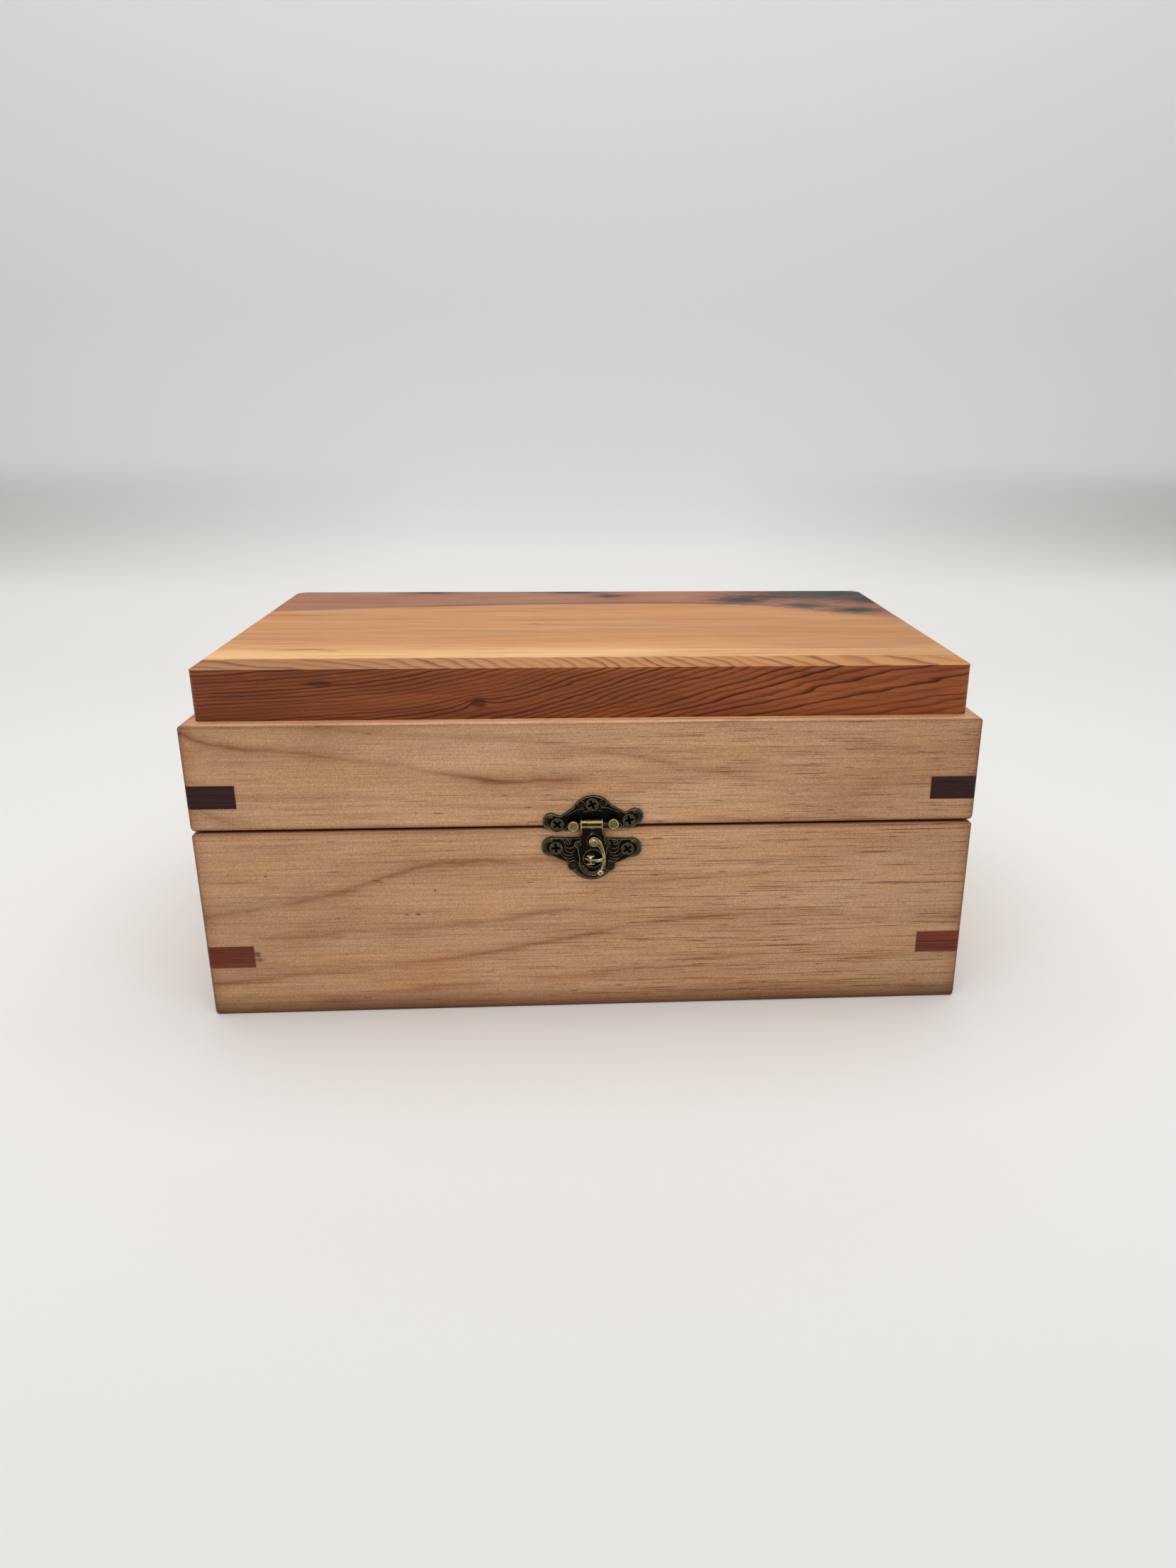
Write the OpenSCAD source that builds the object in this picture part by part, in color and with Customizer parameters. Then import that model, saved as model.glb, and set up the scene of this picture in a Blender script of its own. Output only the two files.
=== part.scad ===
// Keepsake box: a mitred hardwood base and lid frame with contrasting corner keys, a solid
// slab lid, two stop hinges and a small swing-hook latch.
// Millimetres. +Z is up, +X is to the right and -Y is the front. The origin is the middle of the
// box's underside.

/* [Box] */
// Width over the outer faces
box_w = 218.5; // [150:0.5:320]
// Depth over the outer faces
box_d = 140; // [100:1:220]
// Height of the base
base_h = 56; // [40:1:100]
// Height of the lid frame
lid_h = 30; // [22:1:50]
// Gap between the base and the closed lid
seam_gap = 0.5; // [0.3:0.1:0.8]
// Thickness of the walls
wall_t = 12; // [10:0.5:16]
// Rounding of the upright corners
corner_r = 1.6; // [0.6:0.1:3]
// Rounding along the top and bottom edges of the front and the back
ease_long = 0.7; // [0.3:0.1:1.5]
// Rounding along the top and bottom edges of the sides
ease_side = 2.0; // [0.3:0.1:3]

/* [Bottom panel] */
// Thickness of the bottom panel, which lies flush with the underside
bottom_t = 5; // [3:0.5:8]
// Width of the rebate that holds the panel
rebate_w = 5; // [3:0.5:7]
// Room left around the panel in its rebate
rebate_room = 0.1; // [0.1:0.1:0.5]

/* [Corner keys] */
// Height of each key
key_h = 6.5; // [4:0.1:8]
// How deep a key goes in, measured square to the corner
key_depth = 9.4; // [6:0.1:10]
// Underside of the base keys above the table
base_key_z = 15; // [11:0.5:20]
// Underside of the lid keys above the lid frame's lower edge
lid_key_z = 6.5; // [3:0.5:10]

/* [Slab lid] */
// How far the slab stands above the lid frame
slab_rise = 14.2; // [8:0.1:22]
// Strip of the frame left uncovered around the slab
slab_inset = 3.75; // [2:0.05:6]
// Depth of the step that drops inside the frame
slab_plug = 5; // [3:0.5:8]
// Room between that step and the frame
slab_room = 0.3; // [0.1:0.1:0.6]
// Width of the shallow bevel along the slab's front edge
bevel_w = 9; // [4:0.5:14]
// Drop of that bevel
bevel_drop = 0.25; // [0.2:0.05:2]
// Corner rounding of the slab at the front, seen from above
slab_front_r = 2; // [1:0.5:6]
// Corner rounding of the slab at the back, seen from above
slab_back_r = 6; // [1:0.5:8]
// Rounding of the slab's upper edges
slab_ease = 0.7; // [0.5:0.1:2]

/* [Hinges] */
// Distance from the outer side face to the middle of a hinge
hinge_inset = 46; // [36:1:60]
// Length of a hinge along the seam
hinge_l = 25; // [18:1:32]
// Depth of a leaf under the lid
leaf_d = 8.5; // [7:0.5:9]
// Thickness of a leaf
leaf_t = 1; // [0.8:0.1:1.4]
// Gap between the two closed leaves
leaf_gap = 0.3; // [0.2:0.1:0.5]
// Outer radius of the knuckles
knuckle_r = 2; // [1.6:0.1:2.6]
// Length of the middle knuckle
knuckle_mid_l = 12; // [8:0.5:16]
// Gap between two knuckles
knuckle_gap = 0.2; // [0.1:0.1:0.4]
// Radius of the hinge pin
hinge_pin_r = 0.75; // [0.5:0.05:1]
// Radius of the heads on the pin's ends
hinge_pin_head_r = 1.3; // [1:0.1:1.6]
// Thickness of those heads
hinge_pin_head_t = 0.6; // [0.4:0.1:1]
// Angle at which the hinge's tail lands on the back of the base
lid_open = 95; // [90:1:100]
// Length of the tail
tail_l = 5; // [3:0.5:7]
// Thickness of the tail
tail_t = 1.2; // [0.8:0.1:1.6]
// Space between the knuckles, or the landed tail, and the back of the box
hinge_clear = 0.1; // [0.05:0.05:0.3]
// Spacing of the screws in a leaf
hinge_screw_gap = 15; // [10:1:20]
// Head radius of a hinge screw
hinge_screw_head_r = 1.7; // [1.3:0.1:2]
// Shank radius of a hinge screw
hinge_screw_r = 0.9; // [0.6:0.1:1.1]
// Length of a hinge screw
hinge_screw_l = 9; // [6:0.5:12]

/* [Latch] */
// Middle of the latch to the right of the box's centre
latch_x = 0.7; // [-10:0.1:10]
// Thickness of the two plates
plate_t = 0.8; // [0.6:0.1:1]
// Thickness of the hasp
hasp_t = 0.9; // [0.6:0.1:1.2]
// Gap between the plates and what swings over them
latch_gap = 0.2; // [0.15:0.05:0.4]
// Height of the latch pin above the middle of the seam
pin_v = 1.55; // [1:0.05:3]
// Radius of the latch pin
pin_r = 0.6; // [0.4:0.05:0.8]
// Running clearance around every pin and rivet
run = 0.05; // [0.03:0.01:0.09]
// Outer radius of the hasp's barrel
barrel_r = 1.5; // [1.2:0.05:1.8]
// Length of the hasp's barrel
barrel_l = 6; // [4:0.1:7]
// Offset of the barrel to the left of the latch's middle
barrel_shift = 0.35; // [0:0.05:0.6]
// Radius of the two posts that hold the pin
post_r = 1.65; // [1.3:0.05:1.8]
// Distance between the posts
post_gap = 11.1; // [10.6:0.1:12]
// How far the upper plate is turned from level
upper_tilt = 2.9; // [0:0.1:3]
// How far the lower plate is turned from level
lower_tilt = -1.6; // [-3:0.1:0]
// Distance between the side screws of a plate
plate_screw_gap = 20; // [19:0.5:22]
// Head radius of a latch screw
screw_head_r = 2.1; // [1.8:0.1:2.2]
// Thickness of a latch screw's head
screw_head_t = 0.8; // [0.6:0.1:1]
// Depth to which the head sits in its plate
screw_sink = 0.4; // [0.2:0.1:0.6]
// Radius of a screw's shank
screw_r = 0.9; // [0.6:0.1:1.1]
// Length of a latch screw's shank below the wood's face
screw_l = 8; // [5:0.5:9]

/* [Hook] */
// Pivot of the hook to the right of the latch's middle
hook_u = 0.3; // [0:0.05:0.6]
// Pivot of the hook above the middle of the seam
hook_v = -3.65; // [-4.2:0.05:-3.4]
// Thickness of the hook
hook_t = 0.85; // [0.6:0.05:1]
// Gap between the hook and the hasp
hook_gap = 0.12; // [0.08:0.01:0.2]
// Radius of the hook's round head
hook_head_r = 1.45; // [1.2:0.05:1.6]
// Radius of the rivet that the hook turns on
rivet_r = 0.6; // [0.4:0.05:0.7]
// Radius of the rivet's head
rivet_head_r = 0.95; // [0.8:0.05:1.1]
// Radius of the arc along which the hook's arm travels
arm_r = 5.5; // [5.3:0.05:5.6]
// Width of the arm
arm_w = 0.8; // [0.6:0.05:0.9]
// Width of the hook's stem
stem_w = 0.95; // [0.7:0.05:1.1]
// Radius of the knob under the stem
knob_r = 0.95; // [0.7:0.05:1.1]
// How far the middle of the knob stands above the hook's face
knob_rise = 0.25; // [0.15:0.05:0.5]
// Gap between the arm's tip and the staple when the hook is not engaged
tip_gap = 0.25; // [0.2:0.05:0.5]

/* [Staple] */
// Middle of the staple to the left of the hook's pivot
staple_du = 1.2; // [1:0.05:1.4]
// Radius of the staple's bow wire
staple_wire_r = 0.5; // [0.4:0.05:0.55]
// How much thicker the staple's legs are than its bow
staple_collar = 0.05; // [0.02:0.01:0.1]
// Radius of the staple's bow, to the middle of the wire
staple_bow_r = 1.2; // [1.1:0.05:1.3]
// Radius of the eye in the hasp that passes over the staple
eye_r = 2.55; // [2.3:0.05:2.7]
// Room around the staple in the slot at the hasp's foot
slot_room = 0.25; // [0.2:0.05:0.5]

/* [Hidden] */
$fn = 64;
eps = 0.01;
half_w = box_w / 2;
half_d = box_d / 2;
inner_w = box_w - 2 * wall_t;
inner_d = box_d - 2 * wall_t;
seam_z = base_h + seam_gap / 2;
lid_z = base_h + seam_gap;
lid_top = lid_z + lid_h;
key_leg = key_depth * sqrt(2);

// Hinge geometry, about the pin's axis behind the box at the middle of the seam
axis_y = half_d + knuckle_r + hinge_clear;
hinge_x = half_w - hinge_inset;
knuckle_end_l = (hinge_l - knuckle_mid_l) / 2 - knuckle_gap;
leaf_screw_y = half_d - leaf_d / 2;
hinge_head_t = leaf_t * 0.6;

// Latch stations, counted outwards from the wood's face
post_cap = 0.5;
hasp_w0 = plate_t + latch_gap;
pin_w = hasp_w0 + barrel_r;
post_h = pin_w + pin_r + post_cap;
hook_w0 = hasp_w0 + hasp_t + hook_gap;
rivet_head_t = 0.45; // above the hook's face
// The pin stops this far inside the posts' outer sides
pin_setback = 0.4;
pin_l = post_gap + 2 * (post_r - pin_setback);
post_chamfer = 0.3;
recess_w = 0.7;

// Plate centres: the middle of each plate's side screws, in latch coordinates
upper_c = [0.15, 1.65];
lower_c = [-0.35, -6.15];
upper_screws = [[-plate_screw_gap / 2, 0], [plate_screw_gap / 2, 0], [0, 5.2]];
lower_screws = [[-plate_screw_gap / 2, 0], [plate_screw_gap / 2, 0]];
// How far each screw's recess happens to be turned
upper_turns = [40, 8, 20];
lower_turns = [5, 38];
post_dv = pin_v - upper_c[1];

// Staple and eye, in latch coordinates
staple_u = hook_u - staple_du;
staple_v = hook_v - sqrt(arm_r * arm_r - staple_du * staple_du);
staple_leg = hook_w0 + hook_t * 0.7;
eye_v = -8.85;
staple_leg_r = staple_wire_r + staple_collar;
slot_w = 2 * (staple_leg_r + slot_room);

// The stem's centre line is one arc through the hook's head and its knob
stem_c = [-6.12, -5.01];
stem_r = 8.72;
stem_top_a = 44;
stem_foot_a = -27.4;
knob_at = stem_c + stem_r * [cos(stem_foot_a), sin(stem_foot_a)];
// Angles of the arm's arc about the pivot: from the stem to the centre of its rounded tip
arm_root_a = -63;
arm_tip_u = -staple_du + staple_leg_r + tip_gap + arm_w / 2;
arm_tip_a = -90 + asin(arm_tip_u / arm_r);

SIDES = ["front", "right", "back", "left"];

// ---- shared shapes ----

// Rectangle in plan with one corner radius at the front and another at the back
module rounded_plan(w, d, r_front, r_back) {
    difference() {
        translate([-w / 2, -d / 2]) square([w, d]);
        for (sx = [-1, 1], sy = [-1, 1]) {
            r = sy < 0 ? r_front : r_back;
            translate([sx * (w / 2 - r), sy * (d / 2 - r)])
                difference() {
                    translate([sx > 0 ? 0 : -r - eps, sy > 0 ? 0 : -r - eps]) square(r + eps);
                    circle(r);
                }
        }
    }
}

// Section through a wall: x runs in from the outer face, y runs up, the outer edges are eased
module wall_section(h, ease) {
    translate([ease, 0]) square([wall_t - ease, h]);
    translate([0, ease]) square([wall_t, h - 2 * ease]);
    for (y = [ease, h - ease])
        translate([ease, y]) circle(ease);
}

// One mitred wall along -Y, resting on z = 0
module plain_wall(l, dist, h, ease) {
    intersection() {
        translate([-l / 2, -dist, 0])
            rotate([90, 0, 90])
                linear_extrude(l) wall_section(h, ease);
        linear_extrude(h)
            polygon([
                [-l / 2, -dist], [l / 2, -dist],
                [l / 2 - wall_t, wall_t - dist], [wall_t - l / 2, wall_t - dist]
            ]);
    }
}

// Elevation of a wall l long and h high, its four corners eased
module eased_elevation(l, h, ease) {
    translate([ease - l / 2, 0]) square([l - 2 * ease, h]);
    translate([-l / 2, ease]) square([l, h - 2 * ease]);
    for (s = [-1, 1], y = [ease, h - ease])
        translate([s * (l / 2 - ease), y]) circle(ease);
}

// The wall on a named side, trimmed to the rounded corners of the box and to the easing of the walls beside it
module side_wall(side, h) {
    turn = search([side], SIDES)[0] * 90;
    long = side == "front" || side == "back";
    l = long ? box_w : box_d;
    dist = long ? half_d : half_w;
    intersection() {
        rotate(turn) plain_wall(l, dist, h, long ? ease_long : ease_side);
        rotate(turn)
            translate([0, wall_t + 1 - dist, 0])
                rotate([90, 0, 0])
                    linear_extrude(wall_t + 2) eased_elevation(l, h, long ? ease_side : ease_long);
        linear_extrude(h) rounded_plan(box_w, box_d, corner_r, corner_r);
    }
}

// Triangular key across the corner at sx, sy, from z up
module key_prism(sx, sy, z) {
    translate([0, 0, z])
        linear_extrude(key_h)
            polygon([
                [sx * half_w, sy * half_d],
                [sx * (half_w - key_leg), sy * half_d],
                [sx * half_w, sy * (half_d - key_leg)]
            ]);
}

module corner_key(sx, sy, z) {
    intersection() {
        key_prism(sx, sy, z);
        linear_extrude(lid_top) rounded_plan(box_w, box_d, corner_r, corner_r);
    }
}

module key_slots(z) {
    for (sx = [-1, 1], sy = [-1, 1])
        key_prism(sx, sy, z);
}

// Latch coordinates: x to the right, y up from the middle of the seam, z out of the front face
module on_front() {
    translate([latch_x, -half_d, seam_z])
        rotate([90, 0, 0]) children();
}

module on_upper_plate() {
    on_front()
        translate([upper_c[0], upper_c[1], 0])
            rotate(upper_tilt) children();
}

module on_lower_plate() {
    on_front()
        translate([lower_c[0], lower_c[1], 0])
            rotate(lower_tilt) children();
}

// Band along an arc about the origin, between two angles less than half a turn apart
module arc_band(r, w, a0, a1) {
    far = 2 * r;
    intersection() {
        difference() {
            circle(r + w / 2);
            circle(r - w / 2);
        }
        polygon([
            [0, 0], far * [cos(a0), sin(a0)],
            far * [cos((a0 + a1) / 2), sin((a0 + a1) / 2)], far * [cos(a1), sin(a1)]
        ]);
    }
}

// Cross recess of a driver, sunk from z = 0
module cross_recess(reach, depth) {
    for (turn = [0, 90])
        rotate(turn)
            translate([-reach, -recess_w / 2, -depth]) cube([2 * reach, recess_w, depth + 1]);
}

// Screw with its head's top at z = 0 and its shank pointing down
module screw(head_r, head_t, shank_r, l) {
    rim_t = head_t * 0.4;
    difference() {
        union() {
            translate([0, 0, rim_t - head_t]) cylinder(h = head_t - rim_t, r1 = head_r, r2 = head_r * 0.9);
            translate([0, 0, -head_t]) cylinder(h = rim_t, r = head_r);
            translate([0, 0, -l]) cylinder(h = l - head_t + eps, r = shank_r);
        }
        cross_recess(head_r * 0.62, head_t * 0.7);
    }
}

// Screw in a plate, with its recess turned from level
module latch_screw(turn) {
    top = plate_t + screw_head_t - screw_sink;
    translate([0, 0, top])
        rotate(turn) screw(screw_head_r, screw_head_t, screw_r, screw_l + top);
}

// Holes for the latch's screws in the wood behind a plate
module latch_pilots(places) {
    for (p = places)
        translate([p[0], p[1], -screw_l]) cylinder(h = screw_l + 1, r = screw_r);
}

module plate_screw_holes(places) {
    for (p = places)
        translate([p[0], p[1], 0]) {
            translate([0, 0, -1]) cylinder(h = plate_t + 2, r = screw_r);
            translate([0, 0, plate_t - screw_sink]) cylinder(h = plate_t, r = screw_head_r);
        }
}

// ---- hinge ----

// Hinge coordinates: the origin is the middle of the pin, y runs out behind the box
module at_hinge(side) {
    translate([side * hinge_x, axis_y, seam_z]) children();
}

module along_x(l, r) {
    translate([-l / 2, 0, 0]) rotate([0, 90, 0]) cylinder(h = l, r = r);
}

// Leaf above (up = 1) or below (up = -1) the seam, with its two screw holes
module leaf(up, holes_r) {
    z = up > 0 ? leaf_gap / 2 : -leaf_gap / 2 - leaf_t;
    difference() {
        translate([-hinge_l / 2, half_d - leaf_d - axis_y, z]) cube([hinge_l, leaf_d + knuckle_r, leaf_t]);
        for (s = [-1, 1])
            translate([s * hinge_screw_gap / 2, leaf_screw_y - axis_y, 0]) {
                cylinder(h = 4 * leaf_t, r = holes_r, center = true);
                // countersink, open towards the seam
                translate([0, 0, up > 0 ? 0 : -leaf_gap / 2 - hinge_head_t])
                    cylinder(h = leaf_gap / 2 + hinge_head_t, r = hinge_screw_head_r);
            }
    }
}

module end_knuckles() {
    for (s = [-1, 1])
        translate([s * (hinge_l - knuckle_end_l) / 2, 0, 0]) along_x(knuckle_end_l, knuckle_r);
}

// Notch that the other leaf's knuckle, with its tail, turns in
module knuckle_room(l, x) {
    reach = knuckle_r + knuckle_gap;
    translate([x - l / 2, -reach, -reach]) cube([l, 2 * reach, 2 * reach]);
}

module base_leaf(side) {
    color("#4d4230")
        at_hinge(side)
            difference() {
                union() {
                    difference() {
                        leaf(-1, hinge_screw_r);
                        knuckle_room(knuckle_mid_l + 2 * knuckle_gap, 0);
                    }
                    end_knuckles();
                }
                along_x(hinge_l + 2, hinge_pin_r);
            }
}

// Tail that turns down with the lid and lands on the back of the base
module stop_tail() {
    rotate([lid_open, 0, 0])
        translate([-knuckle_mid_l / 2, -knuckle_r, -tail_l])
            cube([knuckle_mid_l, tail_t, tail_l]);
}

module lid_leaf(side) {
    color("#4d4230")
        at_hinge(side)
            difference() {
                union() {
                    difference() {
                        leaf(1, hinge_screw_r);
                        for (s = [-1, 1])
                            knuckle_room(
                                knuckle_end_l + 2 * knuckle_gap, s * (hinge_l - knuckle_end_l) / 2
                            );
                    }
                    along_x(knuckle_mid_l, knuckle_r);
                    stop_tail();
                }
                along_x(hinge_l + 2, hinge_pin_r + run);
            }
}

module hinge_pin(side) {
    color("#6d6040")
        at_hinge(side) {
            along_x(hinge_l + 2 * eps, hinge_pin_r);
            for (s = [-1, 1])
                translate([s * (hinge_l + hinge_pin_head_t) / 2, 0, 0])
                    along_x(hinge_pin_head_t, hinge_pin_head_r);
        }
}

// The leaf's bed in the wood
module mortise(up) {
    for (side = [-1, 1])
        at_hinge(side)
            translate([
                -hinge_l / 2, half_d - leaf_d - axis_y,
                up > 0 ? -seam_gap : -leaf_gap / 2 - leaf_t
            ])
                cube([hinge_l, leaf_d + 1, seam_gap + leaf_gap / 2 + leaf_t]);
}

module at_hinge_screws() {
    for (side = [-1, 1], s = [-1, 1])
        translate([side * hinge_x + s * hinge_screw_gap / 2, leaf_screw_y, seam_z]) children();
}

module hinge_screws(up) {
    color("#6d6040")
        at_hinge_screws()
            mirror([0, 0, up > 0 ? 1 : 0])
                translate([0, 0, -leaf_gap / 2])
                    screw(hinge_screw_head_r, hinge_head_t, hinge_screw_r, hinge_screw_l);
}

module hinge_pilots(up) {
    at_hinge_screws()
        mirror([0, 0, up > 0 ? 1 : 0])
            translate([0, 0, -leaf_gap / 2 - hinge_screw_l])
                cylinder(h = hinge_screw_l, r = hinge_screw_r);
}

// ---- base ----

module base_bottom() {
    color("#c8a06c")
        linear_extrude(bottom_t) bottom_outline(rebate_w - rebate_room);
}

module bottom_outline(margin) {
    square([inner_w + 2 * margin, inner_d + 2 * margin], center = true);
}

module base_wall(side) {
    color("#c9a277")
        difference() {
            side_wall(side, base_h);
            key_slots(base_key_z);
            translate([0, 0, -1]) linear_extrude(bottom_t + 1) bottom_outline(rebate_w);
            if (side == "front")
                on_lower_plate() latch_pilots(lower_screws);
            if (side == "back") {
                mortise(-1);
                hinge_pilots(-1);
            }
        }
}

module base_key(sx, sy) {
    color("#7b3a26") corner_key(sx, sy, base_key_z);
}

// ---- lid ----

module lid_wall(side) {
    color("#c9a277")
        difference() {
            translate([0, 0, lid_z]) side_wall(side, lid_h);
            key_slots(lid_z + lid_key_z);
            if (side == "front")
                on_upper_plate() latch_pilots(upper_screws);
            if (side == "back") {
                mortise(1);
                hinge_pilots(1);
            }
        }
}

module lid_key(sx, sy) {
    color("#3f2320") corner_key(sx, sy, lid_z + lid_key_z);
}

// Slab seen from its right-hand end: a shallow bevel falls to the front edge
module slab_end(d) {
    difference() {
        polygon([
            [-d / 2, 0], [d / 2, 0], [d / 2, slab_rise], [bevel_w - d / 2, slab_rise],
            [-d / 2, slab_rise - bevel_drop]
        ]);
        translate([d / 2 - slab_ease, slab_rise - slab_ease])
            difference() {
                square(slab_ease + eps);
                circle(slab_ease);
            }
    }
}

// Slab seen from the front: both upper ends are eased
module slab_front(w) {
    translate([-w / 2, 0]) square([w, slab_rise - slab_ease]);
    translate([slab_ease - w / 2, 0]) square([w - 2 * slab_ease, slab_rise]);
    for (s = [-1, 1])
        translate([s * (w / 2 - slab_ease), slab_rise - slab_ease]) circle(slab_ease);
}

module lid_slab() {
    w = box_w - 2 * slab_inset;
    d = box_d - 2 * slab_inset;
    color("#b5713c") {
        translate([0, 0, lid_top])
            intersection() {
                linear_extrude(slab_rise) rounded_plan(w, d, slab_front_r, slab_back_r);
                translate([-w / 2, 0, 0]) rotate([90, 0, 90]) linear_extrude(w) slab_end(d);
                translate([0, d / 2, 0]) rotate([90, 0, 0]) linear_extrude(d) slab_front(w);
            }
        translate([0, 0, lid_top - slab_plug])
            linear_extrude(slab_plug)
                square([inner_w - 2 * slab_room, inner_d - 2 * slab_room], center = true);
    }
}

// ---- latch ----

// Crown-shaped plate: an arched top over straight shoulders, with a round ear at each end
module upper_blank() {
    ear = [plate_screw_gap / 2 + 1.7, 0.8];
    ear_r = 2.35;
    foot_v = -2.25;
    shoulder = [5, 4.65];
    notch = [9.1, 2.1];
    arch_v = 1.5;
    arch_r = 6.1;
    linear_extrude(plate_t)
        polygon([
            [-notch[0], notch[1]], [-shoulder[0], shoulder[1]], shoulder, notch,
            [notch[0] - 0.8, foot_v], [0.8 - notch[0], foot_v]
        ]);
    intersection() {
        translate([0, arch_v, 0]) cylinder(h = plate_t, r = arch_r);
        translate([-2 * arch_r, shoulder[1] - 1, 0]) cube([4 * arch_r, 4 * arch_r, plate_t]);
    }
    for (s = [-1, 1]) {
        translate([s * ear[0], ear[1], 0]) cylinder(h = plate_t, r = ear_r);
        translate([s * plate_screw_gap / 2, 0, 0]) cylinder(h = plate_t, r = screw_head_r + 0.3);
    }
}

// Shield-shaped plate: round ears, sloping flanks, a small lobe each side and a bowl at the foot
module lower_blank() {
    top_v = 2.95;
    ear = [plate_screw_gap / 2 + 1.2, 0.2];
    ear_r = 2.85;
    lobe = [5.1, -5.3];
    lobe_r = 1.65;
    bowl_v = -3.15;
    bowl_r = 6.4;
    flank = [11.6, -2.4];
    waist = [5.9, -4.9];
    linear_extrude(plate_t)
        polygon([
            [-ear[0], top_v], [ear[0], top_v], flank, waist, [-waist[0], waist[1]], [-flank[0], flank[1]]
        ]);
    intersection() {
        translate([0, bowl_v, 0]) cylinder(h = plate_t, r = bowl_r);
        translate([-2 * bowl_r, bowl_v - 2 * bowl_r, 0]) cube([4 * bowl_r, 2 * bowl_r, plate_t]);
    }
    for (s = [-1, 1]) {
        translate([s * ear[0], ear[1], 0]) cylinder(h = plate_t, r = ear_r);
        translate([s * lobe[0], lobe[1], 0]) cylinder(h = plate_t, r = lobe_r);
    }
}

module latch_upper_plate() {
    color("#3b3327")
        on_upper_plate()
            difference() {
                upper_blank();
                plate_screw_holes(upper_screws);
            }
}

module latch_lower_plate() {
    color("#3b3327")
        difference() {
            on_lower_plate()
                difference() {
                    lower_blank();
                    plate_screw_holes(lower_screws);
                }
            staple_legs();
        }
}

module latch_upper_screws() {
    color("#5a5142")
        on_upper_plate()
            for (i = [0:len(upper_screws) - 1])
                translate([upper_screws[i][0], upper_screws[i][1], 0])
                    latch_screw(upper_turns[i]);
}

module latch_lower_screws() {
    color("#5a5142")
        on_lower_plate()
            for (i = [0:len(lower_screws) - 1])
                translate([lower_screws[i][0], lower_screws[i][1], 0])
                    latch_screw(lower_turns[i]);
}

module pin_bore(l, r) {
    on_front()
        translate([0, pin_v, pin_w]) along_x(l, r);
}

module latch_posts() {
    color("#8a7b52")
        difference() {
            on_upper_plate()
                for (s = [-1, 1])
                    translate([s * post_gap / 2, post_dv, plate_t]) {
                        cylinder(h = post_h - plate_t - post_chamfer, r = post_r);
                        translate([0, 0, post_h - plate_t - post_chamfer])
                            cylinder(h = post_chamfer, r1 = post_r, r2 = post_r - post_chamfer);
                    }
            pin_bore(pin_l, pin_r);
        }
}

module latch_pin() {
    color("#8a7b52") pin_bore(pin_l, pin_r);
}

// The staple's two legs, one above the other, from the plate's back to the bow
module staple_legs() {
    on_front()
        for (s = [-1, 1])
            translate([staple_u, staple_v + s * staple_bow_r, 0])
                cylinder(h = staple_leg, r = staple_leg_r);
}

// The bow runs on a little past a half turn at each end, into the legs
module latch_staple() {
    over = 5;
    color("#8a7b52") {
        staple_legs();
        on_front()
            translate([staple_u, staple_v, staple_leg])
                rotate([0, -90, 0])
                    rotate([0, 0, -90 - over])
                        rotate_extrude(angle = 180 + 2 * over)
                            translate([staple_bow_r, 0]) circle(staple_wire_r);
    }
}

// Flat blank of the hasp: neck, points, ears, waist, small lobes and the garland under the eye
module hasp_blank() {
    neck = barrel_l / 2;
    garland_v = -10.25;
    garland_r = 3.85;
    half = [
        [neck, pin_v], [neck, -1.5], [3.75, -2.3], [3.3, -3.4], [4.4, -3.6], [4.1, -6.6],
        [3.8, -8.6], [3.7, garland_v]
    ];
    linear_extrude(hasp_t)
        polygon(concat(half, [for (i = [len(half) - 1:-1:0]) [-half[i][0], half[i][1]]]));
    translate([0, garland_v, 0]) cylinder(h = hasp_t, r = garland_r);
    for (s = [-1, 1]) {
        translate([s * 3.95, -4.6, 0]) cylinder(h = hasp_t, r = 1.12);
        translate([s * 3.95, -7.75, 0]) cylinder(h = hasp_t, r = 0.72);
    }
}

module hasp() {
    color("#3b3327")
        on_front()
            difference() {
                union() {
                    translate([-barrel_shift / 2, 0, hasp_w0]) hasp_blank();
                    translate([-barrel_shift, pin_v, pin_w]) along_x(barrel_l, barrel_r);
                }
                translate([0, pin_v, pin_w]) along_x(2 * barrel_l, pin_r + run);
                translate([0, eye_v, 0]) cylinder(h = pin_w, r = eye_r);
                translate([staple_u - slot_w / 2, eye_v - 2 * eye_r - 4, 0])
                    cube([slot_w, 2 * eye_r + 4, pin_w]);
                translate([hook_u, hook_v, 0]) cylinder(h = pin_w, r = rivet_r);
            }
}

module hook_rivet() {
    color("#8a7b52")
        on_front()
            translate([hook_u, hook_v, hasp_w0]) {
                shaft = hasp_t + hook_gap + hook_t + hook_gap / 2;
                cylinder(h = shaft, r = rivet_r);
                translate([0, 0, shaft])
                    cylinder(h = rivet_head_t, r1 = rivet_head_r, r2 = rivet_head_r * 0.6);
            }
}

// Flat hook about its pivot: round head, curved stem and the arm that enters the staple
module hook_blank() {
    arm_tip = arm_r * [cos(arm_tip_a), sin(arm_tip_a)];
    cylinder(h = hook_t, r = hook_head_r);
    translate([stem_c[0], stem_c[1], 0])
        linear_extrude(hook_t) arc_band(stem_r, stem_w, stem_foot_a - 3, stem_top_a);
    linear_extrude(hook_t) arc_band(arm_r, arm_w, arm_tip_a, arm_root_a);
    translate([arm_tip[0], arm_tip[1], 0]) cylinder(h = hook_t, r = arm_w / 2);
}

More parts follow.
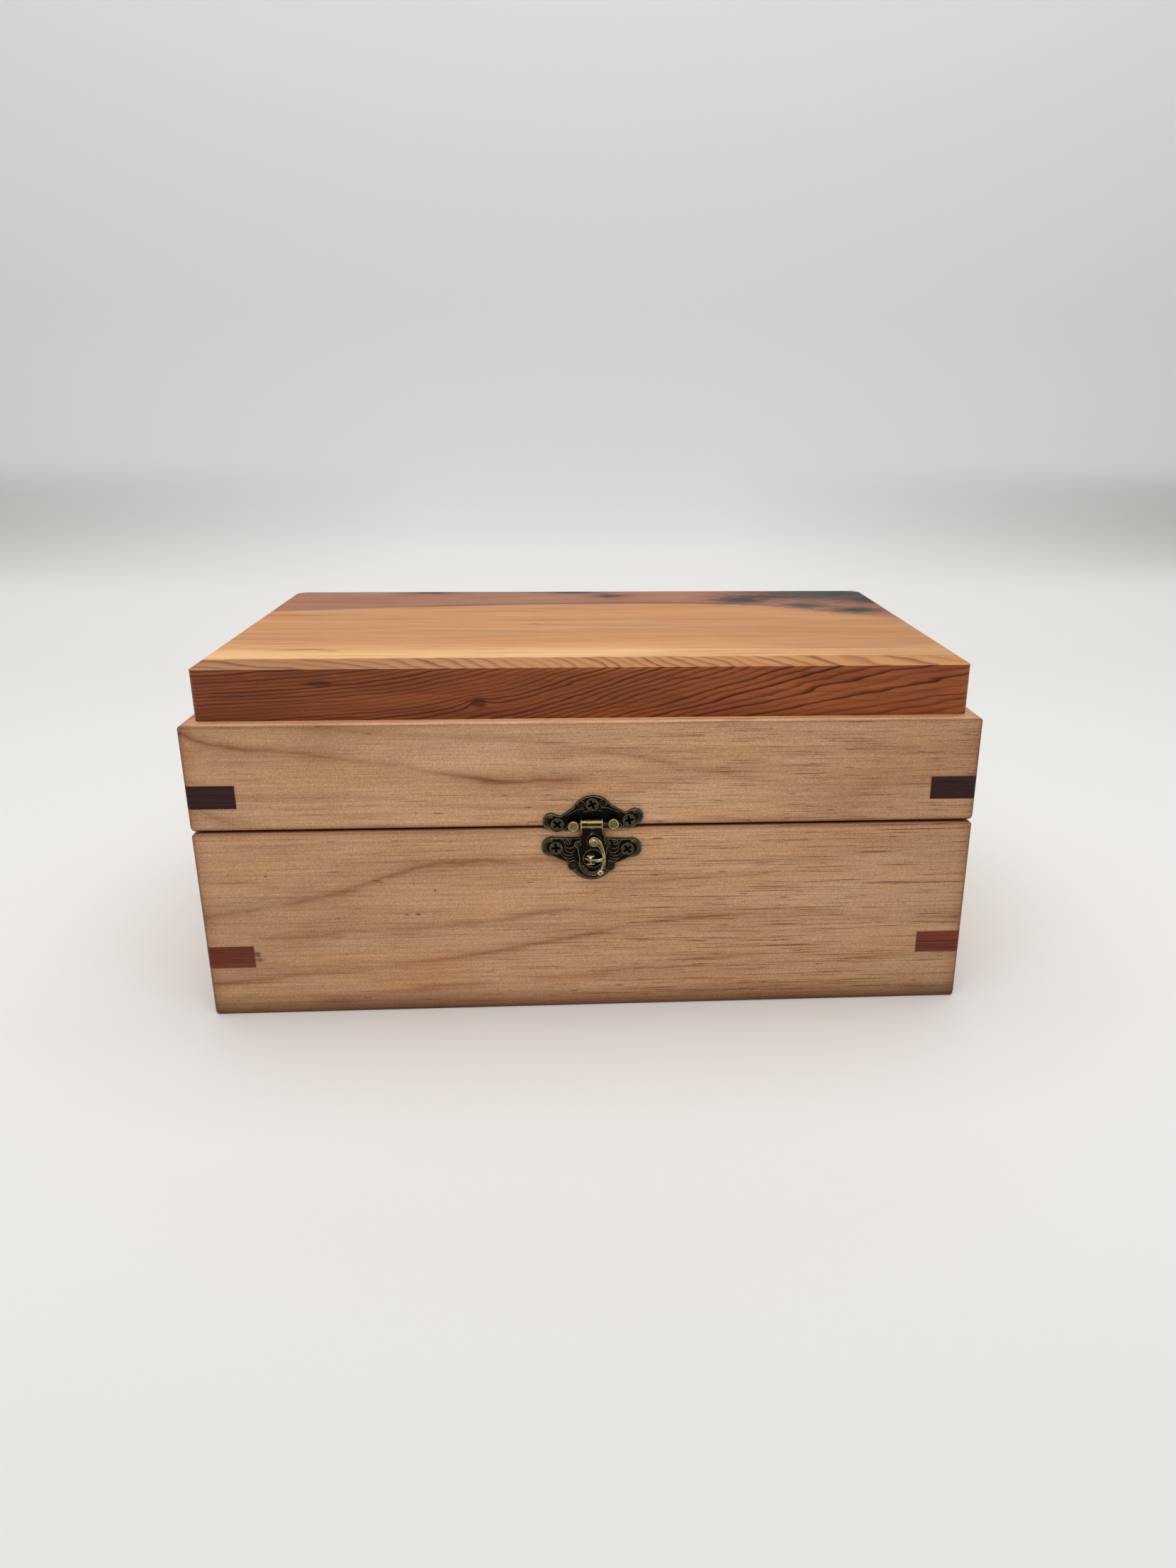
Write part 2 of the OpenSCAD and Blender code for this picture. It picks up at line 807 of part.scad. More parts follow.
module swing_hook() {
    color("#8a7b52")
        on_front()
            translate([hook_u, hook_v, hook_w0])
                difference() {
                    union() {
                        hook_blank();
                        translate([knob_at[0], knob_at[1], hook_t + knob_rise]) sphere(knob_r);
                    }
                    translate([0, 0, -1]) cylinder(h = hook_t + 2, r = rivet_r + run);
                }
}

// ---- nodes ----

base_wall("front");  // base_front
base_wall("right");  // base_right
base_wall("back");  // base_back
base_wall("left");  // base_left
base_bottom();
base_key(-1, -1);  // base_key_front_left
base_key(1, -1);  // base_key_front_right
base_key(-1, 1);  // base_key_back_left
base_key(1, 1);  // base_key_back_right
latch_lower_plate();
latch_staple();
latch_lower_screws();
base_leaf(-1);  // hinge_base_leaf_left
base_leaf(1);  // hinge_base_leaf_right
hinge_pin(-1);  // hinge_pin_left
hinge_pin(1);  // hinge_pin_right
hinge_screws(-1);  // hinge_base_screws
lid_wall("front");  // lid_front
lid_wall("right");  // lid_right
lid_wall("back");  // lid_back
lid_wall("left");  // lid_left
lid_slab();
lid_key(-1, -1);  // lid_key_front_left
lid_key(1, -1);  // lid_key_front_right
lid_key(-1, 1);  // lid_key_back_left
lid_key(1, 1);  // lid_key_back_right
latch_upper_plate();
latch_posts();
latch_pin();
latch_upper_screws();
lid_leaf(-1);  // hinge_lid_leaf_left
lid_leaf(1);  // hinge_lid_leaf_right
hinge_screws(1);  // hinge_lid_screws
hasp();
hook_rivet();
swing_hook();
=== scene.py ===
"""Finishes, latch relief, floor, lamps and camera for a mitred keepsake box: pale lacquered hardwood
frames with dark corner keys, an oiled cedar slab in the lid, and an antique-bronze latch."""

import math

import bpy
from mathutils import Matrix, Vector


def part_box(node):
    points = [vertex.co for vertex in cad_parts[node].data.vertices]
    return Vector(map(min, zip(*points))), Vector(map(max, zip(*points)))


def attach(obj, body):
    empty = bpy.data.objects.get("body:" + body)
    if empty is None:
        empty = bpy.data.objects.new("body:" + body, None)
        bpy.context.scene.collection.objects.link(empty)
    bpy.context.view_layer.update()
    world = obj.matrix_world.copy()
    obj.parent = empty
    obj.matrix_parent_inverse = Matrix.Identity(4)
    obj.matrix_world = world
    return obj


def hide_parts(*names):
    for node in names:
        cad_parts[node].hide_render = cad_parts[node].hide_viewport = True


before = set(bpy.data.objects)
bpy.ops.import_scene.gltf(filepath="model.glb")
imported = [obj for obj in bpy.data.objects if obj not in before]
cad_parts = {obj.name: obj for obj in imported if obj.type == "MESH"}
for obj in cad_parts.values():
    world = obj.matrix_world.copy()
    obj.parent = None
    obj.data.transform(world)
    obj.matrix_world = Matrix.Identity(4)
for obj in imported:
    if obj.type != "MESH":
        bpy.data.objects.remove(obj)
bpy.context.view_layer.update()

MM = 0.001
MATH = "ShaderNodeMath"
VECTOR = "ShaderNodeVectorMath"
NOISE = "ShaderNodeTexNoise"
CELLS = "ShaderNodeTexVoronoi"
RANGE = "ShaderNodeMapRange"
MIX = "ShaderNodeMix"
SPLIT = "ShaderNodeSeparateXYZ"
MAPPING = "ShaderNodeMapping"
CURVE = "ShaderNodeFloatCurve"
COORDS = "ShaderNodeTexCoord"
BUMP = "ShaderNodeBump"
CHANCE = "ShaderNodeTexWhiteNoise"
# settings that several nodes share
SMOOTH = {"interpolation_type": "SMOOTHSTEP"}
RGBA = {"out": 2, "data_type": "RGBA"}

# ---- sizes read from the frame, in millimetres ----


def node_box(name):
    """Lowest and highest corner of a CAD node's box."""
    low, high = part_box(name)
    return low / MM, high / MM


HALF_W = node_box("base_right")[1].x
HALF_D = -node_box("base_front")[0].y
SEAM_Z = (node_box("base_front")[1].z + node_box("lid_front")[0].z) / 2
LID_TOP = node_box("lid_front")[1].z
SLAB_LO, SLAB_HI = node_box("lid_slab")
BASE_KEY_LO, BASE_KEY_HI = node_box("base_key_front_left")
LID_KEY_LO, LID_KEY_HI = node_box("lid_key_front_left")
KEY_REACH = BASE_KEY_HI.x - BASE_KEY_LO.x
KEY_H = BASE_KEY_HI.z - BASE_KEY_LO.z
# underside, top edge and height of the keys' middle, for the base and for the lid
HEIGHTS = {"base": (0.0, node_box("base_front")[1].z, (BASE_KEY_LO.z + BASE_KEY_HI.z) / 2),
           "lid": (node_box("lid_front")[0].z, LID_TOP, (LID_KEY_LO.z + LID_KEY_HI.z) / 2)}
# the slab's strip of open figure along its front edge, and the knot in its front face
STRIP_D = 12.5
FACE_KNOT = (-30.0, SLAB_LO.y, 91.2)

# ---- nodes and colours ----


def add(tree, kind, inputs=(), operation=None, out=0, **settings):
    """Adds one node with its settings. inputs holds its sockets by place or name, as values or outputs."""
    node = tree.nodes.new(kind)
    if operation:
        node.operation = operation
    for name, value in settings.items():
        setattr(node, name, value)
    for name, value in inputs.items() if isinstance(inputs, dict) else enumerate(inputs):
        if isinstance(value, bpy.types.NodeSocket):
            tree.links.new(value, node.inputs[name])
        elif value is not None:
            node.inputs[name].default_value = value
    return node.outputs[out] if node.outputs else node


def srgb(code):
    """Linear colour of an sRGB hex code."""
    shares = [int(code[i:i + 2], 16) / 255 for i in (0, 2, 4)]
    return tuple(c / 12.92 if c <= 0.04045 else ((c + 0.055) / 1.055) ** 2.4 for c in shares) + (1.0,)


def new_object(name, data):
    """An object with that mesh, lamp or camera, in the scene."""
    made = bpy.data.objects.new(name, data)
    bpy.context.scene.collection.objects.link(made)
    return made


def new_material(name):
    """An empty material with its Principled shader."""
    material = bpy.data.materials.new(name)
    material.use_nodes = True
    tree = material.node_tree
    return material, tree, tree.nodes["Principled BSDF"]


def wire(tree, shader, colour, shine, relief, strength, depth):
    """Gives a shader its colour, its roughness (an output, or one number for the whole surface) and a bump
    in which relief is depth mm high."""
    bump = add(tree, BUMP, {"Strength": strength, "Distance": depth * MM, "Height": relief})
    tree.links.new(colour, shader.inputs["Base Color"])
    tree.links.new(bump, shader.inputs["Normal"])
    if isinstance(shine, float):
        shader.inputs["Roughness"].default_value = shine
    else:
        tree.links.new(shine, shader.inputs["Roughness"])


def place_mm(tree, turn=0.0):
    """Place on the piece in millimetres, turned about Z by turn degrees."""
    metres = add(tree, COORDS, out="Object")
    return add(tree, MAPPING, {"Vector": metres, "Rotation": (0, 0, math.radians(turn)),
                               "Scale": (1 / MM,) * 3})


def patches(tree, place, size, seed, detail=2.0):
    """Smooth random tone from 0 to 1, in patches about size mm along each axis."""
    spread = add(tree, MAPPING, {"Vector": place, "Location": (seed, 1.7 * seed, 0.6 * seed),
                                 "Scale": [1 / s for s in size]})
    return add(tree, NOISE, {"Vector": spread, "Scale": 1.0, "Detail": detail, "Roughness": 0.55})


def swing(tree, place, size, seed, detail, reach):
    """Smooth random length that swings by reach either side of zero, in patches about size mm long."""
    tone = patches(tree, place, size, seed, detail)
    return add(tree, RANGE, (tone, 0.0, 1.0, -reach, reach), clamp=False)


def near(tree, distance, width):
    """1 where distance is 0, falling to a half at width on either side, with a long soft tail."""
    share = add(tree, MATH, (distance, width), "DIVIDE")
    square = add(tree, MATH, (share, share), "MULTIPLY")
    return add(tree, MATH, (1.0, add(tree, MATH, (square, 1.0), "ADD")), "DIVIDE")


def tint(tree, colour, mask, amount, code):
    """Multiplies colour by an sRGB tint where mask shows."""
    share = add(tree, MATH, (mask, amount), "MULTIPLY", use_clamp=True)
    return add(tree, MIX, {0: share, 6: colour, 7: srgb(code)}, blend_type="MULTIPLY", **RGBA)


def shade(tree, colour, tone, low, high, dim, bright):
    """Colour times a factor that runs from dim to bright as tone runs from low to high."""
    factor = add(tree, RANGE, (tone, low, high, dim, bright))
    return add(tree, VECTOR, {0: colour, "Scale": factor}, "SCALE")


def shape(tree, along, low, high, points, top):
    """A smooth curve through points (mm along, height) over low to high mm, from 0 to top."""
    share = add(tree, RANGE, (along, low, high, 0.0, 1.0))
    curve = add(tree, CURVE, {"Value": share})
    mapping = curve.node.mapping
    mapping.extend = "HORIZONTAL"
    line = mapping.curves[0]
    places = [((x - low) / (high - low), y / top) for x, y in points]
    line.points[0].location = places[0]
    line.points[1].location = places[-1]
    for x, y in places[1:-1]:
        line.points.new(x, y)
    mapping.update()
    return add(tree, MATH, (curve, top), "MULTIPLY")


def spot(tree, place, centre, size, ragged):
    """1 at centre, falling to 0 at size mm from it along each axis, with a ragged edge."""
    offset = add(tree, VECTOR, (place, centre), "SUBTRACT")
    share = add(tree, VECTOR, (offset, [1 / s for s in size]), "MULTIPLY")
    reach = add(tree, VECTOR, (share,), "LENGTH", out="Value")
    frayed = add(tree, MATH, (reach, ragged), "ADD")
    return add(tree, RANGE, (frayed, 0.25, 1.0, 1.0, 0.0), **SMOOTH)


# ---- wood ----


def growth_line(tree, along, up, points, width):
    """One late-wood line through points (mm along the board, mm up), with a soft halo and faded ends."""
    fade, margin, top = 14.0, 2.0, 100.0
    halo_width, halo_share = 4.5, 0.33
    height = shape(tree, along, -HALF_W, HALF_W, points, top)
    distance = add(tree, MATH, (up, height), "SUBTRACT")
    halo = near(tree, distance, halo_width * width)
    mark = add(tree, MATH, (halo, halo_share, near(tree, distance, width)), "MULTIPLY_ADD")
    for end, way in ((points[0][0], 1), (points[-1][0], -1)):
        if abs(end) < HALF_W - margin:
            faded = add(tree, RANGE, (along, end - way, end + way * fade, 0.0, 1.0), **SMOOTH)
            mark = add(tree, MATH, (mark, faded), "MULTIPLY")
    return mark


def growth_figure(tree, place, spacing, seed, width):
    """Late-wood lines of a plain-sawn board: level sets of its height bent by slow noise."""
    parts = add(tree, SPLIT, (place,)).node
    bend = swing(tree, place, (75, 60, 28), seed, 1.0, 2.2 * spacing)
    ripple = swing(tree, place, (16, 7, 5), seed + 3, 1.0, 0.16 * spacing)
    leaned = add(tree, MATH, (parts.outputs["Y"], 0.55, parts.outputs["Z"]), "MULTIPLY_ADD")
    bent = add(tree, MATH, (leaned, add(tree, MATH, (bend, ripple), "ADD")), "ADD")
    count = add(tree, MATH, (bent, spacing), "DIVIDE")
    share = add(tree, MATH, (add(tree, MATH, (count,), "FRACT"), 0.5), "SUBTRACT")
    ring = add(tree, MATH, (count,), "FLOOR")
    chance = add(tree, CHANCE, {"W": ring}, noise_dimensions="1D")
    mark = near(tree, add(tree, MATH, (share, spacing), "MULTIPLY"), width)
    return add(tree, MATH, (mark, chance), "MULTIPLY")


def pores(tree, place, size, seed, share):
    """Open pores cut lengthways, of random depth, in that share of cells of size mm (long, high)."""
    spread = add(tree, MAPPING, {"Vector": place, "Location": (seed, seed, seed),
                                 "Scale": (1 / size[0], 1 / size[1], 1 / size[1])})
    cells = add(tree, CELLS, {"Vector": spread, "Scale": 1.0, "Randomness": 1.0}).node
    chance = add(tree, SPLIT, (cells.outputs["Color"],)).node
    kept = add(tree, MATH, (chance.outputs["X"], share), "LESS_THAN")
    radius = add(tree, RANGE, (chance.outputs["Y"], 0.0, 1.0, 0.12, 0.3))
    gap = add(tree, MATH, (radius, cells.outputs["Distance"]), "SUBTRACT")
    dash = add(tree, RANGE, (gap, 0.0, 0.16, 0.0, 1.0), **SMOOTH)
    depth = add(tree, RANGE, (chance.outputs["Z"], 0.0, 1.0, 0.25, 1.0))
    return add(tree, MATH, (add(tree, MATH, (dash, kept), "MULTIPLY"), depth), "MULTIPLY")


# Growth lines that the two front boards show: (strength, half-width, points in mm along and up)
LID_FRONT_LINES = [
    (0.85, 0.62, [(-108, 84.0), (-103.4, 81.6), (-97, 80.3), (-80.6, 78.8), (-61.5, 76), (-48.6, 74.2),
                  (-36.9, 71.8), (-28, 69.8), (-14, 69.6), (6, 70.6)]),
    (0.45, 0.8, [(-92, 86.0), (-74.2, 85.2), (-45.2, 82.8), (-13.7, 80.8), (9.4, 77.1), (23.4, 74.1),
                 (38.2, 71.4), (58.9, 67.8), (70.3, 65.7), (86.5, 67.8), (108, 68)]),
    (0.35, 0.9, [(15.4, 84.6), (39.6, 84.4), (64.3, 81.9), (77, 77.6), (95.8, 76.4), (108, 76.2)]),
    (0.5, 0.6, [(-108, 63.6), (-103, 61.4), (-99.2, 59.3), (-95.8, 58), (-88, 57.2)]),
]
BASE_FRONT_LINES = [
    (0.8, 0.75, [(-108, 30.7), (-94.3, 33.1), (-85, 34.6), (-69.5, 37.8), (-53.7, 43.3), (-47.4, 45),
                 (-35.1, 46.3), (-14.6, 46.3), (4, 46.6)]),
    (0.6, 0.7, [(-97, 22.8), (-70.5, 25.3), (-48.6, 26.1), (-29.7, 27.8), (-15, 29.9), (2, 33)]),
    (0.65, 0.7, [(-108, 9.8), (-74.7, 12.7), (-49.3, 15.6), (-30.1, 17.9), (-15.3, 20.4), (9.4, 25.1),
                 (19, 26.6), (36.3, 28.3), (58.3, 29.2), (80.8, 26.8), (93.8, 28.2), (108, 27)]),
    (0.5, 0.8, [(-84, 1.7), (-49.8, 7), (-15.6, 8.4), (9.4, 11.5), (22.4, 13.7), (48.5, 15.5),
                (75, 14.8), (108, 15.1)]),
    (0.4, 0.9, [(0, 39), (22, 40.1), (41.1, 40.1), (48.8, 40.9), (60.1, 44.5), (80, 43.8)]),
    (0.4, 0.9, [(24, 2.5), (42.2, 6.4), (62.2, 5.4), (72.2, 6.8), (108, 7)]),
]

# Small dark marks on the two front boards: (centre and half-sizes in mm along and up, strength)
LID_FRONT_MARKS = [
    ((-15.8, 57.85), (3.2, 0.17), 0.9),
    ((-17.2, 57.2), (0.16, 0.95), 0.8),
]
BASE_FRONT_MARKS = [
    ((-95.1, 19.0), (1.5, 1.3), 0.75),
    ((-94.7, 17.2), (2.0, 0.9), 0.6),
    ((-52.2, 30.5), (0.9, 0.35), 0.8),
    ((-49.1, 30.5), (1.3, 0.42), 0.85),
    ((-43.9, 37.8), (0.5, 0.5), 0.8),
    ((-90.3, 43.0), (0.5, 0.45), 0.7),
]


def glue_lines(tree, from_end, from_face, up, key_z):
    """Hairlines of dark glue along the mitres and round the corner keys of one board."""
    mitre_line, key_line, fade = 0.09, 0.11, 1.5
    mitre = near(tree, add(tree, MATH, (from_end, from_face), "SUBTRACT"), mitre_line)
    rise = add(tree, MATH, (add(tree, MATH, (up, key_z), "SUBTRACT"),), "ABSOLUTE")
    over = add(tree, MATH, (rise, KEY_H / 2), "SUBTRACT")
    past = add(tree, MATH, (add(tree, MATH, (from_end, from_face), "ADD"), KEY_REACH), "SUBTRACT")
    key_edge = near(tree, add(tree, MATH, (over, past), "MAXIMUM"), key_line)
    ends = add(tree, RANGE, (from_end, KEY_REACH, KEY_REACH + fade, 1.0, 0.0))
    return add(tree, MATH, (mitre, add(tree, MATH, (key_edge, ends), "MULTIPLY")), "MAXIMUM")


def lacquered_board(part, side, seed, lines=(), marks=(), figure=0.5, pore_share=(0.12, 0.12)):
    """Pale, even hardwood (alder or soft maple), planed and sanded, under a satin lacquer: a pinkish tan
    with soft late-wood lines, short dark pores and a fine sparkle where the lacquer lies over them."""
    material, tree, shader = new_material(f"alder_{part}_{side}")
    low, high, key_z = HEIGHTS[part]
    turn = 90 if side in ("left", "right") else 0
    place = place_mm(tree, turn)
    parts = add(tree, SPLIT, (place,)).node
    along, deep, up = (parts.outputs[axis] for axis in "XYZ")
    half_along, half_deep = (HALF_D, HALF_W) if turn else (HALF_W, HALF_D)
    from_end = add(tree, MATH, (half_along, add(tree, MATH, (along,), "ABSOLUTE")), "SUBTRACT")
    from_face = add(tree, MATH, (half_deep, add(tree, MATH, (deep,), "ABSOLUTE")), "SUBTRACT")
    # the figure gets busier from left to right of the board's middle
    busy = (-0.3 * half_along, 0.2 * half_along)

    # broad colour, and the late-wood lines
    clouds = patches(tree, place, (60, 25, 18), seed, 3.0)
    colour = add(tree, MIX, {0: clouds, 6: srgb("d5ad87"), 7: srgb("ad7c54")}, **RGBA)
    warmth = add(tree, RANGE, (patches(tree, place, (38, 20, 9), seed + 5), 0.45, 0.8, 0.0, 0.55))
    colour = add(tree, MIX, {0: warmth, 6: colour, 7: srgb("c58e59")}, **RGBA)
    rings = growth_figure(tree, place, 9.0, seed + 8, 0.7)
    colour = tint(tree, colour, rings, figure, "a8764f")
    wobble = add(tree, MATH, (swing(tree, place, (11, 9, 4), seed + 1, 2.0, 1.1), up), "ADD")
    strength = add(tree, RANGE, (patches(tree, place, (26, 20, 30), seed + 2), 0.3, 0.65, 0.25, 0.75))
    fainter = add(tree, RANGE, (along, 5.0, 50.0, 1.0, 0.5))
    strength = add(tree, MATH, (strength, fainter), "MULTIPLY")
    for amount, width, points in lines:
        mark = growth_line(tree, along, wobble, points, width)
        colour = tint(tree, colour, add(tree, MATH, (mark, strength), "MULTIPLY"), amount, "a06a3a")

    # fine grain: streaks, then fibres and a sparkle that are far finer on the wood than they can be drawn
    streaks = patches(tree, place, (70, 1.3, 1.0), seed + 11, 4.0)
    fibres = patches(tree, place, (17, 0.5, 0.3), seed + 12, 3.0)
    oblique = add(tree, MAPPING, {"Vector": place, "Rotation": (0.5, 0.6, 0.4)})
    sparkle = patches(tree, oblique, (0.55, 0.4, 0.33), seed + 13, 3.0)
    colour = shade(tree, colour, streaks, 0.25, 0.75, 0.94, 1.24)
    colour = shade(tree, colour, fibres, 0.3, 0.7, 0.88, 1.12)
    colour = shade(tree, colour, sparkle, 0.3, 0.7, 0.77, 1.24)
    dashes = add(tree, RANGE, (fibres, 0.46, 0.3, 0.0, 1.0), **SMOOTH)
    dash_share = add(tree, RANGE, (along, *busy, 0.25, 0.8))
    colour = tint(tree, colour, add(tree, MATH, (dashes, dash_share), "MULTIPLY"), 1.0, "a8703f")

    # open pores and single dark marks
    share = add(tree, RANGE, (along, *busy, *pore_share))
    crowding = add(tree, RANGE, (clouds, 0.35, 0.7, 0.6, 1.3))
    share = add(tree, MATH, (share, crowding), "MULTIPLY")
    open_pores = pores(tree, place, (12, 1.1), seed + 20, share)
    fine_pores = pores(tree, place, (6, 0.7), seed + 25, share)
    colour = tint(tree, colour, open_pores, 0.9, "825030")
    colour = tint(tree, colour, fine_pores, 0.8, "825030")
    frayed = swing(tree, place, (2.5, 0.7, 0.35), seed + 30, 2.0, 0.5)
    for (mark_x, mark_z), (half_x, half_z), amount in marks:
        mark = spot(tree, place, (mark_x, -HALF_D, mark_z), (half_x, 9.0, half_z), frayed)
        colour = tint(tree, colour, mark, amount, "5f3f2a")

    # glue lines, darker ends and foot, painted shade along the edges (not on upper faces) and the seam,
    # painted light on upper faces
    joints = glue_lines(tree, from_end, from_face, up, key_z)
    colour = tint(tree, colour, joints, 0.8, "4a2c1c")
    # darker within 5 mm of each end
    end_darkening = add(tree, RANGE, (from_end, 0.0, 5.0, 1.0, 0.0), **SMOOTH)
    colour = tint(tree, colour, end_darkening, 0.4, "c79a76")
    # darker over the lowest 8 mm: partly the wood's own colour, partly painted shade near the floor
    foot = add(tree, RANGE, (up, 0.0, 8.0, 1.0, 0.0), **SMOOTH)
    colour = tint(tree, colour, foot, 1.0, "a38c79")
    colour = shade(tree, colour, from_end, 0.0, 0.6 * half_along, 0.9, 1.0)
    colour = shade(tree, colour, along, 0.2 * half_along, half_along, 1.0, 0.9)
    facing = add(tree, SPLIT, (add(tree, COORDS, out="Normal"),)).node
    upward = add(tree, RANGE, (facing.outputs["Z"], 0.25, 0.8, 0.0, 1.0))
    over_foot = add(tree, MATH, (up, low), "SUBTRACT")
    under_top = add(tree, MATH, (high, up), "SUBTRACT")
    from_rim = add(tree, MATH, (add(tree, MATH, (over_foot, under_top), "MINIMUM"), from_end), "MINIMUM")
    # painted shade along the rounded edges: darker within 1.7 mm of the board's ends, lower edge and upper
    # edge
    edge_shade = add(tree, RANGE, (from_rim, 0.0, 1.7, 1.0, 0.0), **SMOOTH)
    edge_shade = add(tree, MATH, (edge_shade, upward), "SUBTRACT", use_clamp=True)
    colour = tint(tree, colour, edge_shade, 0.65, "9c7050")
    from_seam = add(tree, MATH, (add(tree, MATH, (up, SEAM_Z), "SUBTRACT"),), "ABSOLUTE")
    seam_shade = add(tree, RANGE, (from_seam, 0.35, 0.8, 1.0, 0.0), **SMOOTH)
    colour = tint(tree, colour, seam_shade, 0.85, "7a5238")
    # painted light: faces turned up are made up to 1.4 times lighter
    colour = shade(tree, colour, upward, 0.0, 1.0, 1.0, 1.4)

    relief = add(tree, MATH, (fibres, 0.5, sparkle), "MULTIPLY_ADD")
    relief = add(tree, MATH, (relief, open_pores), "SUBTRACT")
    shine = add(tree, RANGE, (streaks, 0.3, 0.7, 0.38, 0.5))
    wire(tree, shader, colour, shine, relief, 0.35, 0.05)
    shader.inputs["Specular IOR Level"].default_value = 0.3
    return material


def key_wood(name, dark, light, seed):
    """Dark hardwood slip glued into a saw kerf and planed flush: tight straight lines, deep in colour."""
    material, tree, shader = new_material(name)
    place = place_mm(tree)
    lines = patches(tree, place, (26, 26, 0.55), seed, 3.0)
    lines = add(tree, RANGE, (lines, 0.3, 0.68, 0.0, 1.0))
    colour = add(tree, MIX, {0: lines, 6: srgb(dark), 7: srgb(light)}, **RGBA)
    fibres = patches(tree, place, (5, 5, 0.3), seed + 2, 2.0)
    colour = shade(tree, colour, fibres, 0.3, 0.7, 0.85, 1.12)
    wire(tree, shader, colour, 0.55, fibres, 0.3, 0.04)
    shader.inputs["Specular IOR Level"].default_value = 0.15
    return material


def sanded_ply():
    """Birch plywood bottom, sanded and unfinished: pale, dull, with broad faint rotary-cut figure."""
    material, tree, shader = new_material("sanded_birch_plywood")
    place = place_mm(tree)
    clouds = patches(tree, place, (50, 14, 14), 4.0, 3.0)
    fibres = patches(tree, place, (12, 0.6, 0.6), 6.0, 2.0)
    colour = add(tree, MIX, {0: clouds, 6: srgb("d0ab82"), 7: srgb("bb9067")}, **RGBA)
    colour = tint(tree, colour, growth_figure(tree, place, 12.0, 3.0, 1.6), 0.4, "b98a5e")
    colour = shade(tree, colour, fibres, 0.3, 0.7, 0.93, 1.06)
    wire(tree, shader, colour, 0.65, fibres, 0.3, 0.05)
    return material


# where the curves that run along the slab end, in mm either side of its middle
SLAB_END = 105.0
# knots and dark stains of the slab's top, then its fine streaks: (centre, half-sizes in mm, strength)
SLAB_KNOTS = [
    ((-57, 65.5), (11, 5), 1.0),
    ((-4, 64.5), (11, 4.5), 0.95),
    ((9.8, 54.8), (7, 5), 0.85),
    ((57, 44), (11, 8), 1.0),
    ((69, 52), (18, 4.5), 0.75),
    ((78.5, 32), (9, 6), 0.9),
    ((94, 58), (18, 11), 1.0),
    ((104, 47), (9, 13), 0.9),
    ((94.5, 22.5), (10, 6.5), 1.0),
    ((80, 62), (28, 6), 0.7),
    ((92, 50), (34, 18), 0.35),
]
SLAB_STREAKS = [
    ((-80, -41), (9, 1.5), 0.5),
    ((-73, -43), (4, 1.0), 0.5),
    ((-28, -42), (7, 0.9), 0.4),
    ((-16, -2), (3, 1.5), 0.35),
]


def cedar_rings(tree, x, y, z, place):
    """Late wood where the slab's front edge cuts the rings: they climb to the right, ever wider apart, and
    bend round one knot. Each ring darkens slowly and ends sharply."""
    ends = (-SLAB_END, SLAB_END)
    count = shape(tree, x, *ends, [(-105, 0), (-60, 2.6), (-35, 5.4), (0, 12.3), (30, 17.8), (60, 21.5),
                                   (105, 24.8)], 26.0)
    pitch = shape(tree, x, *ends, [(-105, 1.0), (-60, 1.05), (-35, 1.15), (0, 1.3), (30, 1.6), (60, 2.0),
                                   (105, 2.2)], 4.0)
    depth = add(tree, MATH, (y, SLAB_LO.y), "SUBTRACT")
    height = add(tree, MATH, (z, LID_TOP), "SUBTRACT")
    height = add(tree, MATH, (depth, -0.2, height), "MULTIPLY_ADD")
    from_knot = add(tree, VECTOR, (place, FACE_KNOT), "SUBTRACT")
    from_knot = add(tree, VECTOR, (from_knot, (0.3, 0.0, 0.75)), "MULTIPLY")
    knot = near(tree, add(tree, VECTOR, (from_knot,), "LENGTH", out="Value"), 1.0)
    height = add(tree, MATH, (knot, -2.3, height), "MULTIPLY_ADD")
    phase = add(tree, MATH, (count, add(tree, MATH, (height, pitch), "DIVIDE")), "SUBTRACT")
    drift = swing(tree, place, (30, 30, 6), 2.0, 2.0, 0.95)
    ripple = swing(tree, place, (7, 7, 2.2), 7.0, 1.0, 0.16)
    phase = add(tree, MATH, (phase, add(tree, MATH, (drift, ripple), "ADD")), "ADD")
    share = add(tree, MATH, (phase,), "FRACT")
    rise = add(tree, RANGE, (share, 0.4, 0.9, 0.0, 1.0), **SMOOTH)
    fall = add(tree, RANGE, (share, 0.93, 1.0, 1.0, 0.0), **SMOOTH)
    chance = add(tree, CHANCE, {"W": add(tree, MATH, (phase,), "FLOOR")}, noise_dimensions="1D")
    strength = add(tree, RANGE, (chance, 0.0, 1.0, 0.35, 1.0))
    return add(tree, MATH, (add(tree, MATH, (rise, fall), "MULTIPLY"), strength), "MULTIPLY")


